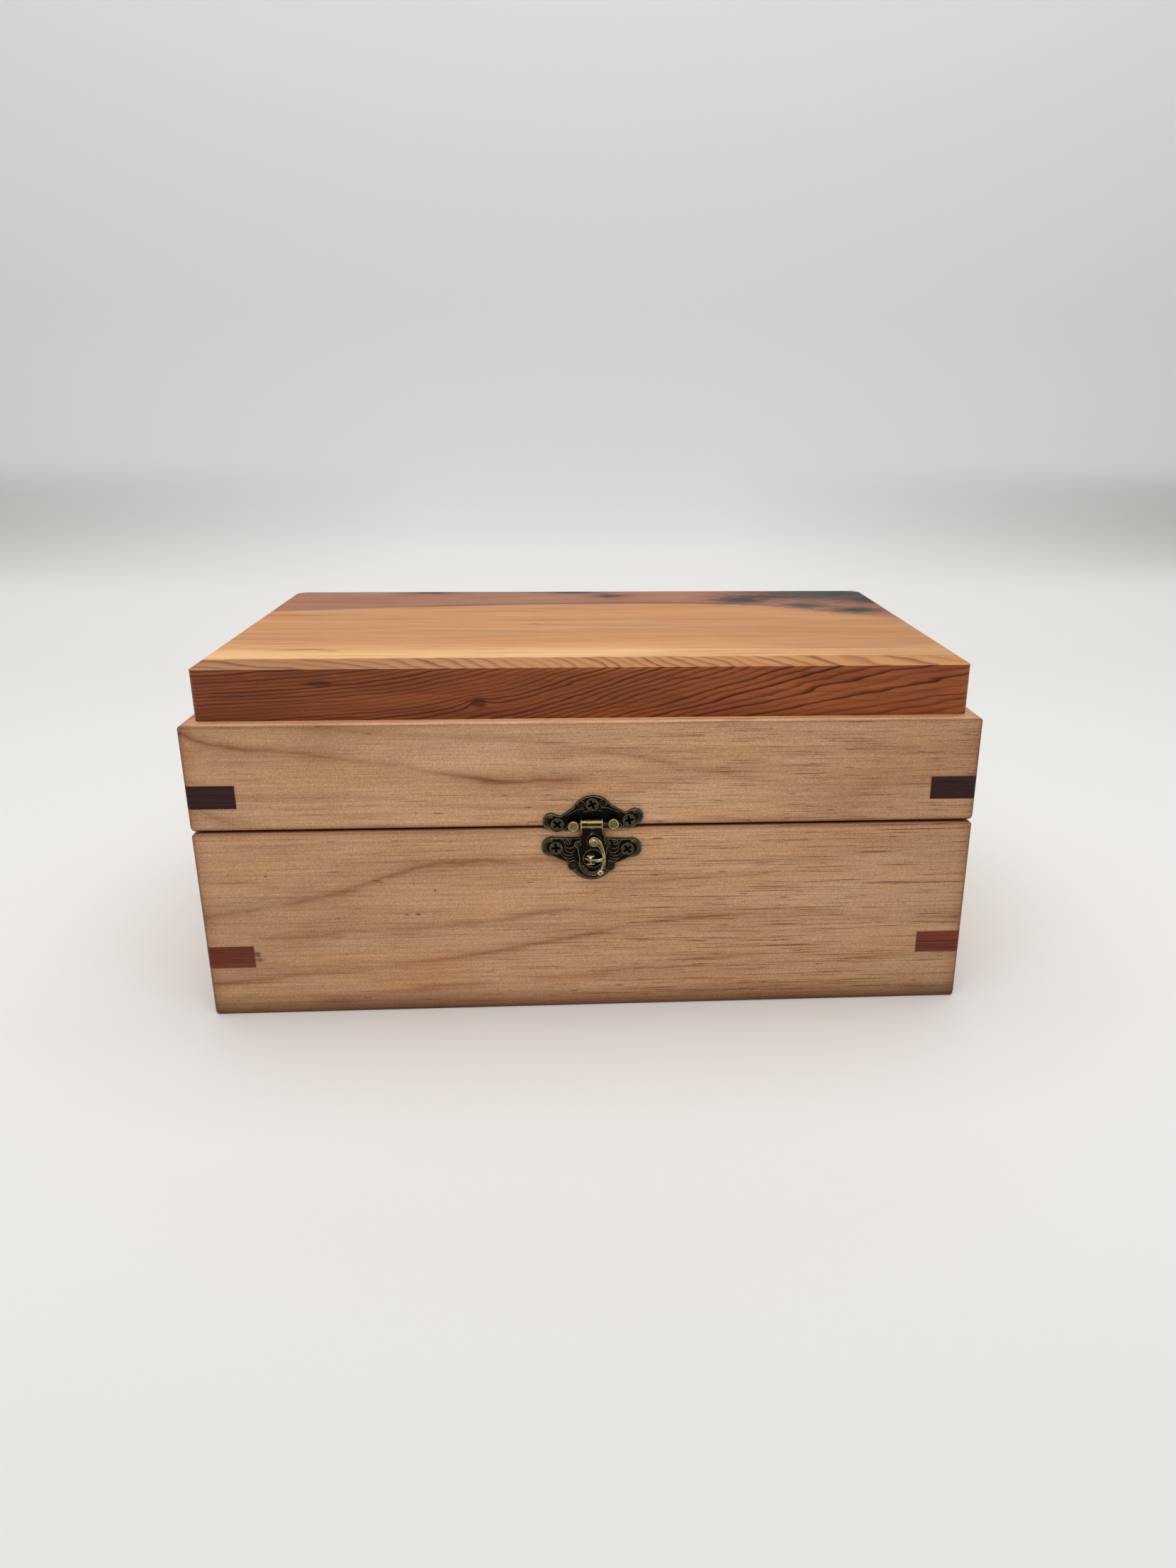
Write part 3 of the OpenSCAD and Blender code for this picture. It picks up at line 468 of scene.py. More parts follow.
def cedar_top(tree, x, y, place, clouds, ragged):
    """Colour of the quarter-sawn top: fine straight lines, lighter towards the front as a painted sheen,
    and behind a dark seam a browner band with knots."""
    ends = (-SLAB_END, SLAB_END)
    deep = 9.0
    top = add(tree, MIX, {0: clouds, 6: srgb("d2955b"), 7: srgb("c48145")}, **RGBA)
    across = add(tree, MATH, (y, swing(tree, place, (90, 20, 20), 15.0, 1.0, 3.0)), "ADD")
    # painted sheen: the top is made paler towards the front, less so towards the right
    pale = add(tree, RANGE, (across, -28.0, -52.0, 0.0, 0.95), **SMOOTH)
    pale = add(tree, MATH, (pale, add(tree, RANGE, (x, 0.0, 90.0, 1.0, 0.4))), "MULTIPLY")
    top = add(tree, MIX, {0: pale, 6: top, 7: srgb("f0bb7e")}, **RGBA)
    top = shade(tree, top, patches(tree, place, (160, 7, 20), 17.0), 0.3, 0.7, 0.93, 1.07)
    top = shade(tree, top, x, 20.0, SLAB_END, 1.0, 0.86)

    band_edge = shape(tree, x, *ends, [(-105, 24), (-92, 26), (-64, 31), (-6, 37), (53, 35), (80, 22),
                                       (105, 6)], 60.0)
    beyond = add(tree, MATH, (y, band_edge), "SUBTRACT")
    sharpness = add(tree, RANGE, (x, 50.0, 80.0, 1.0, 0.3))
    in_band = add(tree, MATH, (beyond, sharpness), "MULTIPLY")
    in_band = add(tree, RANGE, (in_band, -2.0, 1.5, 0.0, 1.0), **SMOOTH)
    blotches = patches(tree, place, (30, 6, 6), 18.0, 3.0)
    band = add(tree, MIX, {0: blotches, 6: srgb("b2754c"), 7: srgb("8f583a")}, **RGBA)
    top = add(tree, MIX, {0: in_band, 6: top, 7: band}, **RGBA)
    tight = patches(tree, place, (50, 0.9, 6), 16.0, 4.0)
    top = shade(tree, top, tight, 0.3, 0.7, 0.87, 1.14)
    top = tint(tree, top, add(tree, RANGE, (tight, 0.42, 0.3, 0.0, 1.0)), 0.6, "a8683c")
    seam = near(tree, add(tree, MATH, (beyond, 1.2), "SUBTRACT"), 0.6)
    seam_share = shape(tree, x, *ends, [(-105, 0.0), (-62, 0.15), (-50, 0.9), (50, 1), (58, 0.3),
                                        (105, 0)], 1.0)
    top = tint(tree, top, add(tree, MATH, (seam, seam_share), "MULTIPLY"), 0.9, "4c3630")

    for (knot_x, knot_y), (half_x, half_y), amount in SLAB_KNOTS:
        centre = (knot_x, knot_y, SLAB_HI.z)
        halo = spot(tree, place, centre, (1.8 * half_x, 1.8 * half_y, deep), ragged)
        core = spot(tree, place, centre, (half_x, half_y, deep), ragged)
        top = tint(tree, top, halo, 0.65 * amount, "86635c")
        top = tint(tree, top, core, amount, "2e2a2c")
    for (streak_x, streak_y), (half_x, half_y), amount in SLAB_STREAKS:
        streak = spot(tree, place, (streak_x, streak_y, SLAB_HI.z), (half_x, half_y, deep), ragged)
        top = tint(tree, top, streak, amount, "7a5236")
    return top


def cedar_slab():
    """Aromatic red cedar, planed and oiled: orange heartwood that shines softly, darker where it is cut
    across, with its late wood drawn as strong oblique lines along the front edge."""
    material, tree, shader = new_material("oiled_red_cedar")
    place = place_mm(tree)
    parts = add(tree, SPLIT, (place,)).node
    x, y, z = (parts.outputs[axis] for axis in "XYZ")
    facing = add(tree, SPLIT, (add(tree, COORDS, out="Normal"),)).node
    clouds = patches(tree, place, (45, 16, 12), 11.0, 3.0)
    fibres = patches(tree, place, (18, 0.6, 0.35), 12.0, 3.0)
    sparkle = patches(tree, place, (0.6, 0.5, 0.5), 13.0, 1.0)
    ragged = swing(tree, place, (5, 1.5, 3), 19.0, 3.0, 0.75)
    late = cedar_rings(tree, x, y, z, place)

    # the front face, and the paler strip of the top along it
    face = add(tree, MIX, {0: clouds, 6: srgb("9c532a"), 7: srgb("733819")}, **RGBA)
    glow = add(tree, RANGE, (patches(tree, place, (40, 20, 1.6), 21.0, 3.0), 0.42, 0.75, 0.0, 0.7))
    face = add(tree, MIX, {0: glow, 6: face, 7: srgb("b0602d")}, **RGBA)
    face = tint(tree, face, late, 1.0, "6c3c28")
    face = shade(tree, face, fibres, 0.3, 0.7, 0.88, 1.1)
    strip = add(tree, MIX, {0: clouds, 6: srgb("d0904c"), 7: srgb("b97434")}, **RGBA)
    strip = tint(tree, strip, late, 1.0, "b0865e")
    strip = shade(tree, strip, x, -100.0, 100.0, 0.94, 1.0)
    in_front = add(tree, RANGE, (facing.outputs["Y"], -0.75, -0.35, 1.0, 0.0), **SMOOTH)
    front = add(tree, MIX, {0: in_front, 6: strip, 7: face}, **RGBA)
    front = shade(tree, front, x, -100.0, 60.0, 0.8, 1.05)
    stain = spot(tree, place, (-71, SLAB_LO.y, 96.6), (7, 9, 0.9), ragged)
    eye = spot(tree, place, FACE_KNOT, (3.0, 9, 1.8), ragged)
    front = tint(tree, front, stain, 0.6, "4c2f25")
    front = tint(tree, front, eye, 0.7, "5c3527")

    top = cedar_top(tree, x, y, place, clouds, ragged)
    torn = add(tree, MATH, (y, swing(tree, place, (9, 2, 4), 23.0, 2.0, 1.6)), "ADD")
    strip_y, blur = SLAB_LO.y + STRIP_D, 0.9
    on_top = add(tree, RANGE, (torn, strip_y - blur, strip_y + blur, 0.0, 1.0), **SMOOTH)
    colour = add(tree, MIX, {0: on_top, 6: front, 7: top}, **RGBA)

    # sides and back show the darker cut face
    low_face = add(tree, RANGE, (facing.outputs["Z"], 0.35, 0.75, 1.0, 0.0), **SMOOTH)
    colour = tint(tree, colour, add(tree, MATH, (low_face, on_top), "MULTIPLY"), 1.0, "cf9f80")
    colour = shade(tree, colour, fibres, 0.3, 0.7, 0.93, 1.06)
    colour = shade(tree, colour, sparkle, 0.3, 0.7, 0.94, 1.06)

    relief = add(tree, MATH, (fibres, sparkle), "ADD")
    relief = add(tree, MATH, (relief, late), "SUBTRACT")
    shine = add(tree, RANGE, (clouds, 0.3, 0.7, 0.42, 0.54))
    wire(tree, shader, colour, shine, relief, 0.35, 0.05)
    shader.inputs["Specular IOR Level"].default_value = 0.25
    return material


# ---- metal ----


def worn_bronze(name, dark, bright, worn_w, roughness, seed, painted_highlight_bands=None):
    """Die-cast zinc or brass, blackened and then buffed: near-black in the hollows, brassy where worn_w
    (mm from the box's face, low and high) is reached. The last argument, if given (mm up, pitch in mm),
    streaks a barrel with painted highlight strips, outside which the brass stays dark."""
    material, tree, shader = new_material(name)
    place = place_mm(tree)
    parts = add(tree, SPLIT, (place,)).node
    out = add(tree, MATH, (-HALF_D, parts.outputs["Y"]), "SUBTRACT")
    speckle = swing(tree, place, (0.5, 0.5, 0.5), seed, 3.0, 0.35)
    wear_and_highlight = add(tree, RANGE, (add(tree, MATH, (out, speckle), "ADD"), *worn_w, 0.0, 1.0), **SMOOTH)
    if painted_highlight_bands:
        # painted highlights: the brass shows only in strips along the barrel, a wave over its height
        streak = patches(tree, place, (2.2, 0.5, 0.35), seed + 4, 3.0)
        rise = add(tree, MATH, (parts.outputs["Z"], painted_highlight_bands[0]), "SUBTRACT")
        turn = add(tree, MATH, (rise, math.tau / painted_highlight_bands[1]), "MULTIPLY")
        highlight_wave = add(tree, MATH, (add(tree, MATH, (turn,), "COSINE"), 0.3, streak), "MULTIPLY_ADD")
        highlight_wave = add(tree, RANGE, (highlight_wave, 0.4, 0.95, 0.03, 1.0))
        wear_and_highlight = add(tree, MATH, (wear_and_highlight, highlight_wave), "MULTIPLY")
    colour = add(tree, MIX, {0: wear_and_highlight, 6: srgb(dark), 7: srgb(bright)}, **RGBA)
    mottle = patches(tree, place, (0.9, 0.9, 0.9), seed + 2, 3.0)
    colour = shade(tree, colour, mottle, 0.3, 0.7, 0.7, 1.25)
    shine = add(tree, RANGE, (mottle, 0.3, 0.7, roughness - 0.08, roughness + 0.1))
    wire(tree, shader, colour, shine, mottle, 0.4, 0.06)
    shader.inputs["Metallic"].default_value = 1.0
    return material


def handled_brass_painted_highlights(name, dark, bright, seed):
    """Cast brass under a brown-black patina that handling has worn off the edges: slopes are bright, partly
    from that wear and partly as painted highlight, flat faces stay brown, and pitting, drawn coarser than a
    casting's so that it shows, breaks up both."""
    material, tree, shader = new_material(name)
    place = place_mm(tree)
    facing = add(tree, SPLIT, (add(tree, COORDS, out="Normal"),)).node
    flat = add(tree, MATH, (facing.outputs["Y"],), "ABSOLUTE")
    pits = patches(tree, place, (0.35, 0.35, 0.35), seed, 3.0)
    wear = patches(tree, place, (1.6, 1.6, 1.6), seed + 1, 2.0)
    # slopes brighter than faces that look straight out from the box: partly worn edges, partly painted
    # highlight
    wear_and_highlight = add(tree, RANGE, (flat, 0.84, 0.99, 0.9, 0.22), **SMOOTH)
    pitting = add(tree, RANGE, (pits, 0.0, 1.0, -0.9, 0.9), clamp=False)
    handling = add(tree, RANGE, (wear, 0.0, 1.0, -0.8, 0.8), clamp=False)
    change = add(tree, MATH, (pitting, handling), "ADD")
    wear_and_highlight = add(tree, MATH, (wear_and_highlight, change), "ADD", use_clamp=True)
    colour = add(tree, MIX, {0: wear_and_highlight, 6: srgb(dark), 7: srgb(bright)}, **RGBA)
    shine = add(tree, RANGE, (pits, 0.3, 0.7, 0.28, 0.42))
    wire(tree, shader, colour, shine, pits, 0.6, 0.08)
    shader.inputs["Metallic"].default_value = 1.0
    return material


def finish_nodes(names, material):
    """Gives CAD nodes a finish through their own material slots."""
    for name in names:
        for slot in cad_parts[name].material_slots:
            slot.material = material


for part, seed, lines, marks in (("base", 3.0, BASE_FRONT_LINES, BASE_FRONT_MARKS),
                                 ("lid", 21.0, LID_FRONT_LINES, LID_FRONT_MARKS)):
    finish_nodes([f"{part}_front"], lacquered_board(part, "front", seed, lines, marks, 0.2, (0.1, 0.42)))
for part, seed in (("base", 40.0), ("lid", 70.0)):
    for side, offset in (("back", 0), ("left", 7), ("right", 14)):
        finish_nodes([f"{part}_{side}"], lacquered_board(part, side, seed + offset))
finish_nodes(["base_bottom"], sanded_ply())
corners = [f"{depth}_{side}" for depth in ("front", "back") for side in ("left", "right")]
finish_nodes(["base_key_" + c for c in corners], key_wood("redwood_key", "58271a", "7d402c", 5.0))
finish_nodes(["lid_key_" + c for c in corners], key_wood("blackwood_key", "2a1415", "402425", 9.0))
finish_nodes(["lid_slab"], cedar_slab())

# the latch's castings: blackened, and brassy only where they stand out furthest from the box
plate_bronze = worn_bronze("blackened_bronze_plate", "191512", "4a3d28", (0.7, 1.9), 0.42, 2.0)
# on the hasp, the barrel's brass shows only in strips of painted highlight
hasp_bronze = worn_bronze("blackened_bronze_hasp", "1a1612", "b9a36c", (2.0, 2.7), 0.34, 6.0,
                          painted_highlight_bands=(SEAM_Z + 2.6, 1.35))
post_bronze = worn_bronze("hammered_bronze_post", "17130e", "b7a36c", (3.3, 4.0), 0.38, 29.0)
screw_bronze = worn_bronze("grey_bronze_screw", "0a0807", "5a5143", (0.9, 1.35), 0.42, 12.0)
# nothing rubs the hinges, so they have one colour throughout
hinge_brass = worn_bronze("dulled_brass_hinge", "6b5836", "6b5836", (0.0, 1.0), 0.42, 15.0)
# cast edges, rings and the hook, bright on their slopes partly from handling and partly as painted
# highlight
rim_brass = handled_brass_painted_highlights("rubbed_brass_rim_painted_highlights", "28211a", "9d9077", 21.0)
hook_brass = handled_brass_painted_highlights("rubbed_brass_hook_painted_highlights", "4c3f2a", "e6d6a6", 25.0)
staple_brass = handled_brass_painted_highlights("worn_brass_staple_painted_highlights", "4a3d27", "e2d2a0", 33.0)
finish_nodes(["latch_upper_plate", "latch_lower_plate", "latch_pin"], plate_bronze)
finish_nodes(["hasp"], hasp_bronze)
finish_nodes(["latch_posts"], post_bronze)
finish_nodes(["hook_rivet"], hook_brass)
finish_nodes(["latch_upper_screws", "latch_lower_screws"], screw_bronze)
for part in ("base_leaf", "lid_leaf", "pin"):
    finish_nodes([f"hinge_{part}_left", f"hinge_{part}_right"], hinge_brass)
finish_nodes(["hinge_base_screws", "hinge_lid_screws"], hinge_brass)

# ---- latch relief ----

# the latch's middle, in mm right of the box's; its places are in mm right and up of that, at the seam
LATCH_X = 0.7
# how far its faces stand out from the box's, in mm
PLATE_W = 0.8
SCREW_W = 1.2
HASP_W = 1.9
HOOK_W = 2.45
POST_W = 3.6
# the plates' own middles and turns in degrees, then the places on the hasp and the middle of its figure
UPPER_PLATE = ((0.15, 1.65), 2.9)
LOWER_PLATE = ((-0.35, -6.15), -1.6)
PIVOT = (0.3, -3.65)
EYE, EYE_R = (0.0, -8.85), 2.55
HASP_U = -0.175
# the hasp's barrel: middle (mm right, up and out), half-length and radius
BARREL, BARREL_HALF, BARREL_R = (-0.35, 1.55, 2.5), 2.9, 1.5
STAPLE = (-0.7, -9.05)


def on_latch(points, w, plate=None):
    """Points of the latch (mm right, mm up, w mm out of the box's face) as places in metres."""
    (cu, cv), turn = plate or ((0.0, 0.0), 0.0)
    c, s = math.cos(math.radians(turn)), math.sin(math.radians(turn))
    x, y, z = LATCH_X + cu, -HALF_D - w, SEAM_Z + cv
    return [Vector((x + c * u - s * v, y, z + s * u + c * v)) * MM for u, v in points]


def arc(centre, radius, start, end, steps=24):
    """Points along an arc, between two angles in degrees."""
    turns = [math.radians(start + (end - start) * i / steps) for i in range(steps + 1)]
    return [(centre[0] + radius * math.cos(a), centre[1] + radius * math.sin(a)) for a in turns]


def scroll(centre, r_out, r_in, start, end, steps=28):
    """Points along a volute that runs from r_out to r_in about centre."""
    points = []
    for i in range(steps + 1):
        share = i / steps
        a = math.radians(start + (end - start) * share)
        r = r_out + (r_in - r_out) * share
        points.append((centre[0] + r * math.cos(a), centre[1] + r * math.sin(a)))
    return points


def smooth_path(points, steps=8):
    """A Catmull-Rom curve through points."""
    ends = [points[0]] + points + [points[-1]]
    path = []
    for four in zip(ends, ends[1:], ends[2:], ends[3:]):
        for i in range(steps):
            t = i / steps
            path.append(tuple(0.5 * (2 * b + (c - a) * t + (2 * a - 5 * b + 4 * c - d) * t * t
                                     + (3 * b - a - 3 * c + d) * t ** 3) for a, b, c, d in zip(*four)))
    return path + [points[-1]]


def face_outline(name, w):
    """Outer edge, anticlockwise in mm on the latch, of the face that a CAD node shows w mm out."""
    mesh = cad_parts[name].data
    corners = [tuple(round(c / MM, 3) for c in v.co) for v in mesh.vertices]
    edges = set()
    for face in mesh.polygons:
        points = [corners[i] for i in face.vertices]
        if all(abs(p[1] + HALF_D + w) < 0.01 for p in points):
            edges.update(zip(points, points[1:] + points[:1]))
    onward = {a: b for a, b in edges if (b, a) not in edges}
    loops = []
    while onward:
        start, point = onward.popitem()
        loop = [start]
        while point != start and point in onward:
            loop.append(point)
            point = onward.pop(point)
        loops.append(loop)
    longest = max(loops, key=lambda loop: sum(math.dist(a, b) for a, b in zip(loop, loop[1:])))
    return [(x - LATCH_X, z - SEAM_Z) for x, y, z in longest]


def inset(loop, depth):
    """An anticlockwise loop drawn depth mm inside itself, without points that crowd each other."""
    crowded = 0.12
    kept = [p for i, p in enumerate(loop) if math.dist(p, loop[i - 1]) > crowded]
    points = []
    for i, p in enumerate(kept):
        before = Vector(p) - Vector(kept[i - 1])
        after = Vector(kept[(i + 1) % len(kept)]) - Vector(p)
        way = (before.normalized() + after.normalized()).normalized()
        points.append((p[0] - depth * way.y, p[1] + depth * way.x))
    return points


def relief_tree():
    """Geometry Nodes that turn drawn paths into cast relief: raised ridges, rows of beads and domes.
    Each point's size is kept in an attribute named for its kind, and is zero for the other kinds."""
    tree = bpy.data.node_groups.new("cast_relief", "GeometryNodeTree")
    for name, kind in (("Paths", "Geometry"), ("Bead spacing", "Float"), ("Dome height", "Float"),
                       ("Finish", "Material")):
        tree.interface.new_socket(name, in_out="INPUT", socket_type="NodeSocket" + kind)
    tree.interface.new_socket("Relief", in_out="OUTPUT", socket_type="NodeSocketGeometry")
    given = add(tree, "NodeGroupInput").node.outputs
    size, shown, smallest = {}, {}, 1e-6
    for kind in ("ridge", "bead", "dome"):
        size[kind] = add(tree, "GeometryNodeInputNamedAttribute", {"Name": kind}, data_type="FLOAT")
        shown[kind] = add(tree, MATH, (size[kind], smallest), "GREATER_THAN")
    ridge = add(tree, "GeometryNodeMeshToCurve", (given["Paths"], shown["ridge"]))
    section = add(tree, "GeometryNodeCurvePrimitiveCircle", {"Resolution": 8, "Radius": 1.0},
                  mode="RADIUS")
    ridge = add(tree, "GeometryNodeCurveToMesh", {"Curve": ridge, "Profile Curve": section,
                                                  "Scale": size["ridge"], "Fill Caps": True})
    row = add(tree, "GeometryNodeMeshToCurve", (given["Paths"], shown["bead"]))
    row = add(tree, "GeometryNodeResampleCurve", {"Curve": row, "Length": given["Bead spacing"]},
              mode="LENGTH")
    bead = add(tree, "GeometryNodeMeshIcoSphere", {"Radius": 1.0, "Subdivisions": 2})
    beads = add(tree, "GeometryNodeInstanceOnPoints", {"Points": row, "Instance": bead,
                                                       "Scale": size["bead"]})
    dome = add(tree, "GeometryNodeMeshIcoSphere", {"Radius": 1.0, "Subdivisions": 3})
    flat = add(tree, "ShaderNodeCombineXYZ", (1.0, given["Dome height"], 1.0))
    flat = add(tree, VECTOR, {0: flat, "Scale": size["dome"]}, "SCALE")
    domes = add(tree, "GeometryNodeInstanceOnPoints", {
        "Points": given["Paths"], "Selection": shown["dome"], "Instance": dome, "Scale": flat})
    joined = add(tree, "GeometryNodeJoinGeometry")
    for geometry in (ridge, beads, domes):
        tree.links.new(geometry, joined.node.inputs["Geometry"])
    real = add(tree, "GeometryNodeRealizeInstances", (joined,))
    smooth = add(tree, "GeometryNodeSetShadeSmooth", (real,))
    finished = add(tree, "GeometryNodeSetMaterial", {"Geometry": smooth, "Material": given["Finish"]})
    add(tree, "NodeGroupOutput", (finished,))
    return tree


def cast_relief(name, body, finish, strokes, spacing=0.42, dome_height=0.35):
    """Makes one piece of relief from strokes (kind, size in mm, closed, places) that rides its body."""
    points, edges = [], []
    sizes = {"ridge": [], "bead": [], "dome": []}
    for kind, size, closed, places in strokes:
        first, last = len(points), len(points) + len(places) - 1
        points += places
        for key, values in sizes.items():
            values += [size * MM if key == kind else 0.0] * len(places)
        if kind != "dome":
            edges += [(i, i + 1) for i in range(first, last)]
        if closed:
            edges.append((last, first))
    mesh = bpy.data.meshes.new(name)
    mesh.from_pydata(points, edges, [])
    for key, values in sizes.items():
        mesh.attributes.new(key, "FLOAT", "POINT").data.foreach_set("value", values)
    paths = new_object(name + "_paths", mesh)
    modifier = paths.modifiers.new("relief", "NODES")
    modifier.node_group = RELIEF
    given = {"Bead spacing": spacing * MM, "Dome height": dome_height, "Finish": finish}
    for item in RELIEF.interface.items_tree:
        if item.name in given:
            modifier[item.identifier] = given[item.name]
    solid = paths.evaluated_get(bpy.context.evaluated_depsgraph_get())
    piece = new_object(name, bpy.data.meshes.new_from_object(solid))
    bpy.data.objects.remove(paths)
    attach(piece, body)


def rim(name, w, depth, size):
    """Worn rim just inside the outline of a cast plate's face."""
    return "ridge", size, True, on_latch(inset(face_outline(name, w), depth), w)


def both_sides(strokes, w, plate):
    """Strokes (kind, size, closed, points in mm) drawn on the right of a plate, and their mirror images."""
    return [(kind, size, closed, on_latch(drawn, w, plate)) for kind, size, closed, points in strokes
            for drawn in (points, [(-u, v) for u, v in points])]


RELIEF = relief_tree()

# upper plate: scrolled ears, a boss in a ring, a branch, and worn rings round the posts
upper_ear, upper_boss, post = (11.7, 0.8), (3.05, 5.35), (5.55, -0.1)
branch = smooth_path([(7.6, 2.2), (6.2, 2.9), (4.6, 3.7), (3.2, 4.0), (2.2, 3.9)])
upper_strokes = [rim("latch_upper_plate", PLATE_W, 0.2, 0.15)] + both_sides([
    ("ridge", 0.11, False, arc(upper_ear, 1.75, -125, 115)),
    ("ridge", 0.09, False, arc(upper_ear, 1.25, -125, 115)),
    ("ridge", 0.09, True, arc(upper_boss, 0.95, 0, 345, 23)),
    ("ridge", 0.08, False, scroll((7.3, -1.6), 0.75, 0.25, 180, -200)),
    ("ridge", 0.07, False, branch),
    ("ridge", 0.07, False, arc((0.0, -6.2), 9.6, 74, 88, 8)),
], PLATE_W, UPPER_PLATE)
upper_bosses = both_sides([("dome", 0.9, False, [upper_boss])], PLATE_W, UPPER_PLATE)
post_rings = both_sides([("ridge", 0.17, True, arc(post, 1.3, 0, 348, 29))], POST_W - 0.1, UPPER_PLATE)

# lower plate: scrolled ears, overlapping leaves, a boss in a ring, and a beaded foot
lower_ear, lower_boss, foot = (11.2, 0.2), (5.1, -5.3), (0, -3.15)
LEAVES = [
    [(8.5, 2.55), (7.9, 2.1), (7.6, 1.3), (7.3, 0.4), (6.4, -0.1), (5.3, 0.1), (4.7, 0.9)],
    [(7.7, 0.3), (7.2, -0.8), (6.2, -1.4), (5.2, -1.2), (4.6, -0.5)],
    [(8.6, -0.4), (8.1, -1.5), (7.1, -2.2), (6.0, -2.3), (5.2, -1.9)],
    [(8.9, -1.6), (8.0, -2.6), (6.9, -3.1), (5.8, -3.2), (5.0, -2.8)],
    [(7.6, -2.9), (6.6, -3.9), (5.6, -4.1), (4.7, -3.6)],
]
lower_strokes = [rim("latch_lower_plate", PLATE_W, 0.22, 0.14)] + both_sides([
    ("ridge", 0.11, False, arc(lower_ear, 2.2, -115, 100)),
    ("ridge", 0.09, False, arc(lower_ear, 1.75, -115, 100)),
    ("ridge", 0.1, False, scroll((6.55, 1.75), 0.95, 0.25, 160, -330)),
    *(("ridge", 0.08, False, smooth_path(leaf)) for leaf in LEAVES),
    ("ridge", 0.1, True, arc(lower_boss, 1.42, 0, 345, 23)),
], PLATE_W, LOWER_PLATE)
lower_strokes += [
    ("bead", 0.19, False, on_latch(arc(foot, 5.75, -150, -30, 40), PLATE_W + 0.05, LOWER_PLATE)),
    ("ridge", 0.09, False, on_latch(arc(foot, 5.3, -150, -30, 40), PLATE_W, LOWER_PLATE)),
]
lower_bosses = both_sides([("dome", 1.35, False, [lower_boss])], PLATE_W, LOWER_PLATE)

# a small ring that the mould leaves on each screw's head
for strokes, plate, places in ((upper_strokes, UPPER_PLATE, ((-11.4, 0.1), (8.65, 0.1), (1.25, 5.75))),
                               (lower_strokes, LOWER_PLATE, ((-8.7, 0.35), (8.75, 0.2)))):
    for place in places:
        strokes.append(("ridge", 0.06, True, on_latch(arc(place, 0.24, 0, 330, 11), SCREW_W, plate)))

# hasp: a rim, beads round the hook's pivot and the foot, and four small scrolls
hasp_loop = [p for p in face_outline("hasp", HASP_W) if math.dist(p, EYE) > EYE_R + 0.1]
hasp_foot = (HASP_U, -10.25)
berries = [(-0.32, -1.55), (0.32, -1.55), (0.0, -1.05)]
hasp_strokes = [
    ("ridge", 0.13, True, on_latch(inset(hasp_loop, 0.17), HASP_W)),
    ("ridge", 0.12, True, on_latch(arc(EYE, EYE_R + 0.14, 0, 352, 44), HASP_W)),
    ("bead", 0.13, False, on_latch(arc(PIVOT, 2.02, -60, 240, 60), HASP_W)),
    ("bead", 0.2, False, on_latch(arc(hasp_foot, 3.15, 196, 344, 40), HASP_W)),
    ("ridge", 0.08, False, on_latch(arc(hasp_foot, 2.75, 205, 335, 40), HASP_W)),
    ("dome", 0.3, False, on_latch([(HASP_U + u, v) for u, v in berries], HASP_W)),
    ("dome", 0.34, False, on_latch([(-1.9, -12.15), (1.5, -12.2), (-2.75, -11.3), (2.4, -11.3)], HASP_W)),
]
hasp_scrolls = ((0.09, scroll((3.95, -4.6), 0.72, 0.2, 200, -140)),
                (0.08, scroll((3.3, -10.6), 0.5, 0.15, 100, -260)))
for side in (-1, 1):
    for size, drawn in hasp_scrolls:
        points = [(HASP_U + side * u, v) for u, v in drawn]
        hasp_strokes.append(("ridge", size, False, on_latch(points, HASP_W)))
barrel_rims = []
for end in (-BARREL_HALF, BARREL_HALF):
    ring = [on_latch([(BARREL[0] + end, v)], w)[0] for v, w in arc(BARREL[1:], BARREL_R, 0, 348, 29)]
    barrel_rims.append(("ridge", 0.16, True, ring))

cast_relief("upper_plate_relief", "lid", rim_brass, upper_strokes)
cast_relief("post_rings", "lid", hook_brass, post_rings)
cast_relief("lower_plate_relief", "base", rim_brass, lower_strokes)
cast_relief("hasp_relief", "hasp", rim_brass, hasp_strokes, spacing=0.48)
cast_relief("barrel_rims", "hasp", hook_brass, barrel_rims)
cast_relief("upper_plate_bosses", "lid", plate_bronze, upper_bosses)
cast_relief("lower_plate_bosses", "base", plate_bronze, lower_bosses)


# ---- hook and staple ----

# size of the cells in which overlapping shells are fused, and half the staple's thickness, in mm
VOXEL = 0.06
STAPLE_T = 0.34


def circle(sides):
    """Cosine and sine of even turns round a circle."""
    turns = [math.tau * k / sides for k in range(sides)]
    return [(math.cos(a), math.sin(a)) for a in turns]


def bar(path, widths, half_t, sides=16, squareness=0.75):
    """Rings of points (mm) round a bar of rounded section that follows path, half_t thick each side of the
    hook's middle plane. widths are its half-widths at even steps along it."""
    rings = []
    for i, (u, v) in enumerate(path):
        way = Vector(path[min(i + 1, len(path) - 1)]) - Vector(path[max(i - 1, 0)])
        way.normalize()
        share = i / (len(path) - 1) * (len(widths) - 1)
        step = min(int(share), len(widths) - 2)
        half = widths[step] + (widths[step + 1] - widths[step]) * (share - step)
        ring = []
        for c, s in circle(sides):
            across = half * math.copysign(abs(c) ** squareness, c)
            out = half_t * math.copysign(abs(s) ** squareness, s)
            ring.append((u - across * way.y, -HOOK_W - out, v + across * way.x))
        rings.append(ring)
    return rings, False


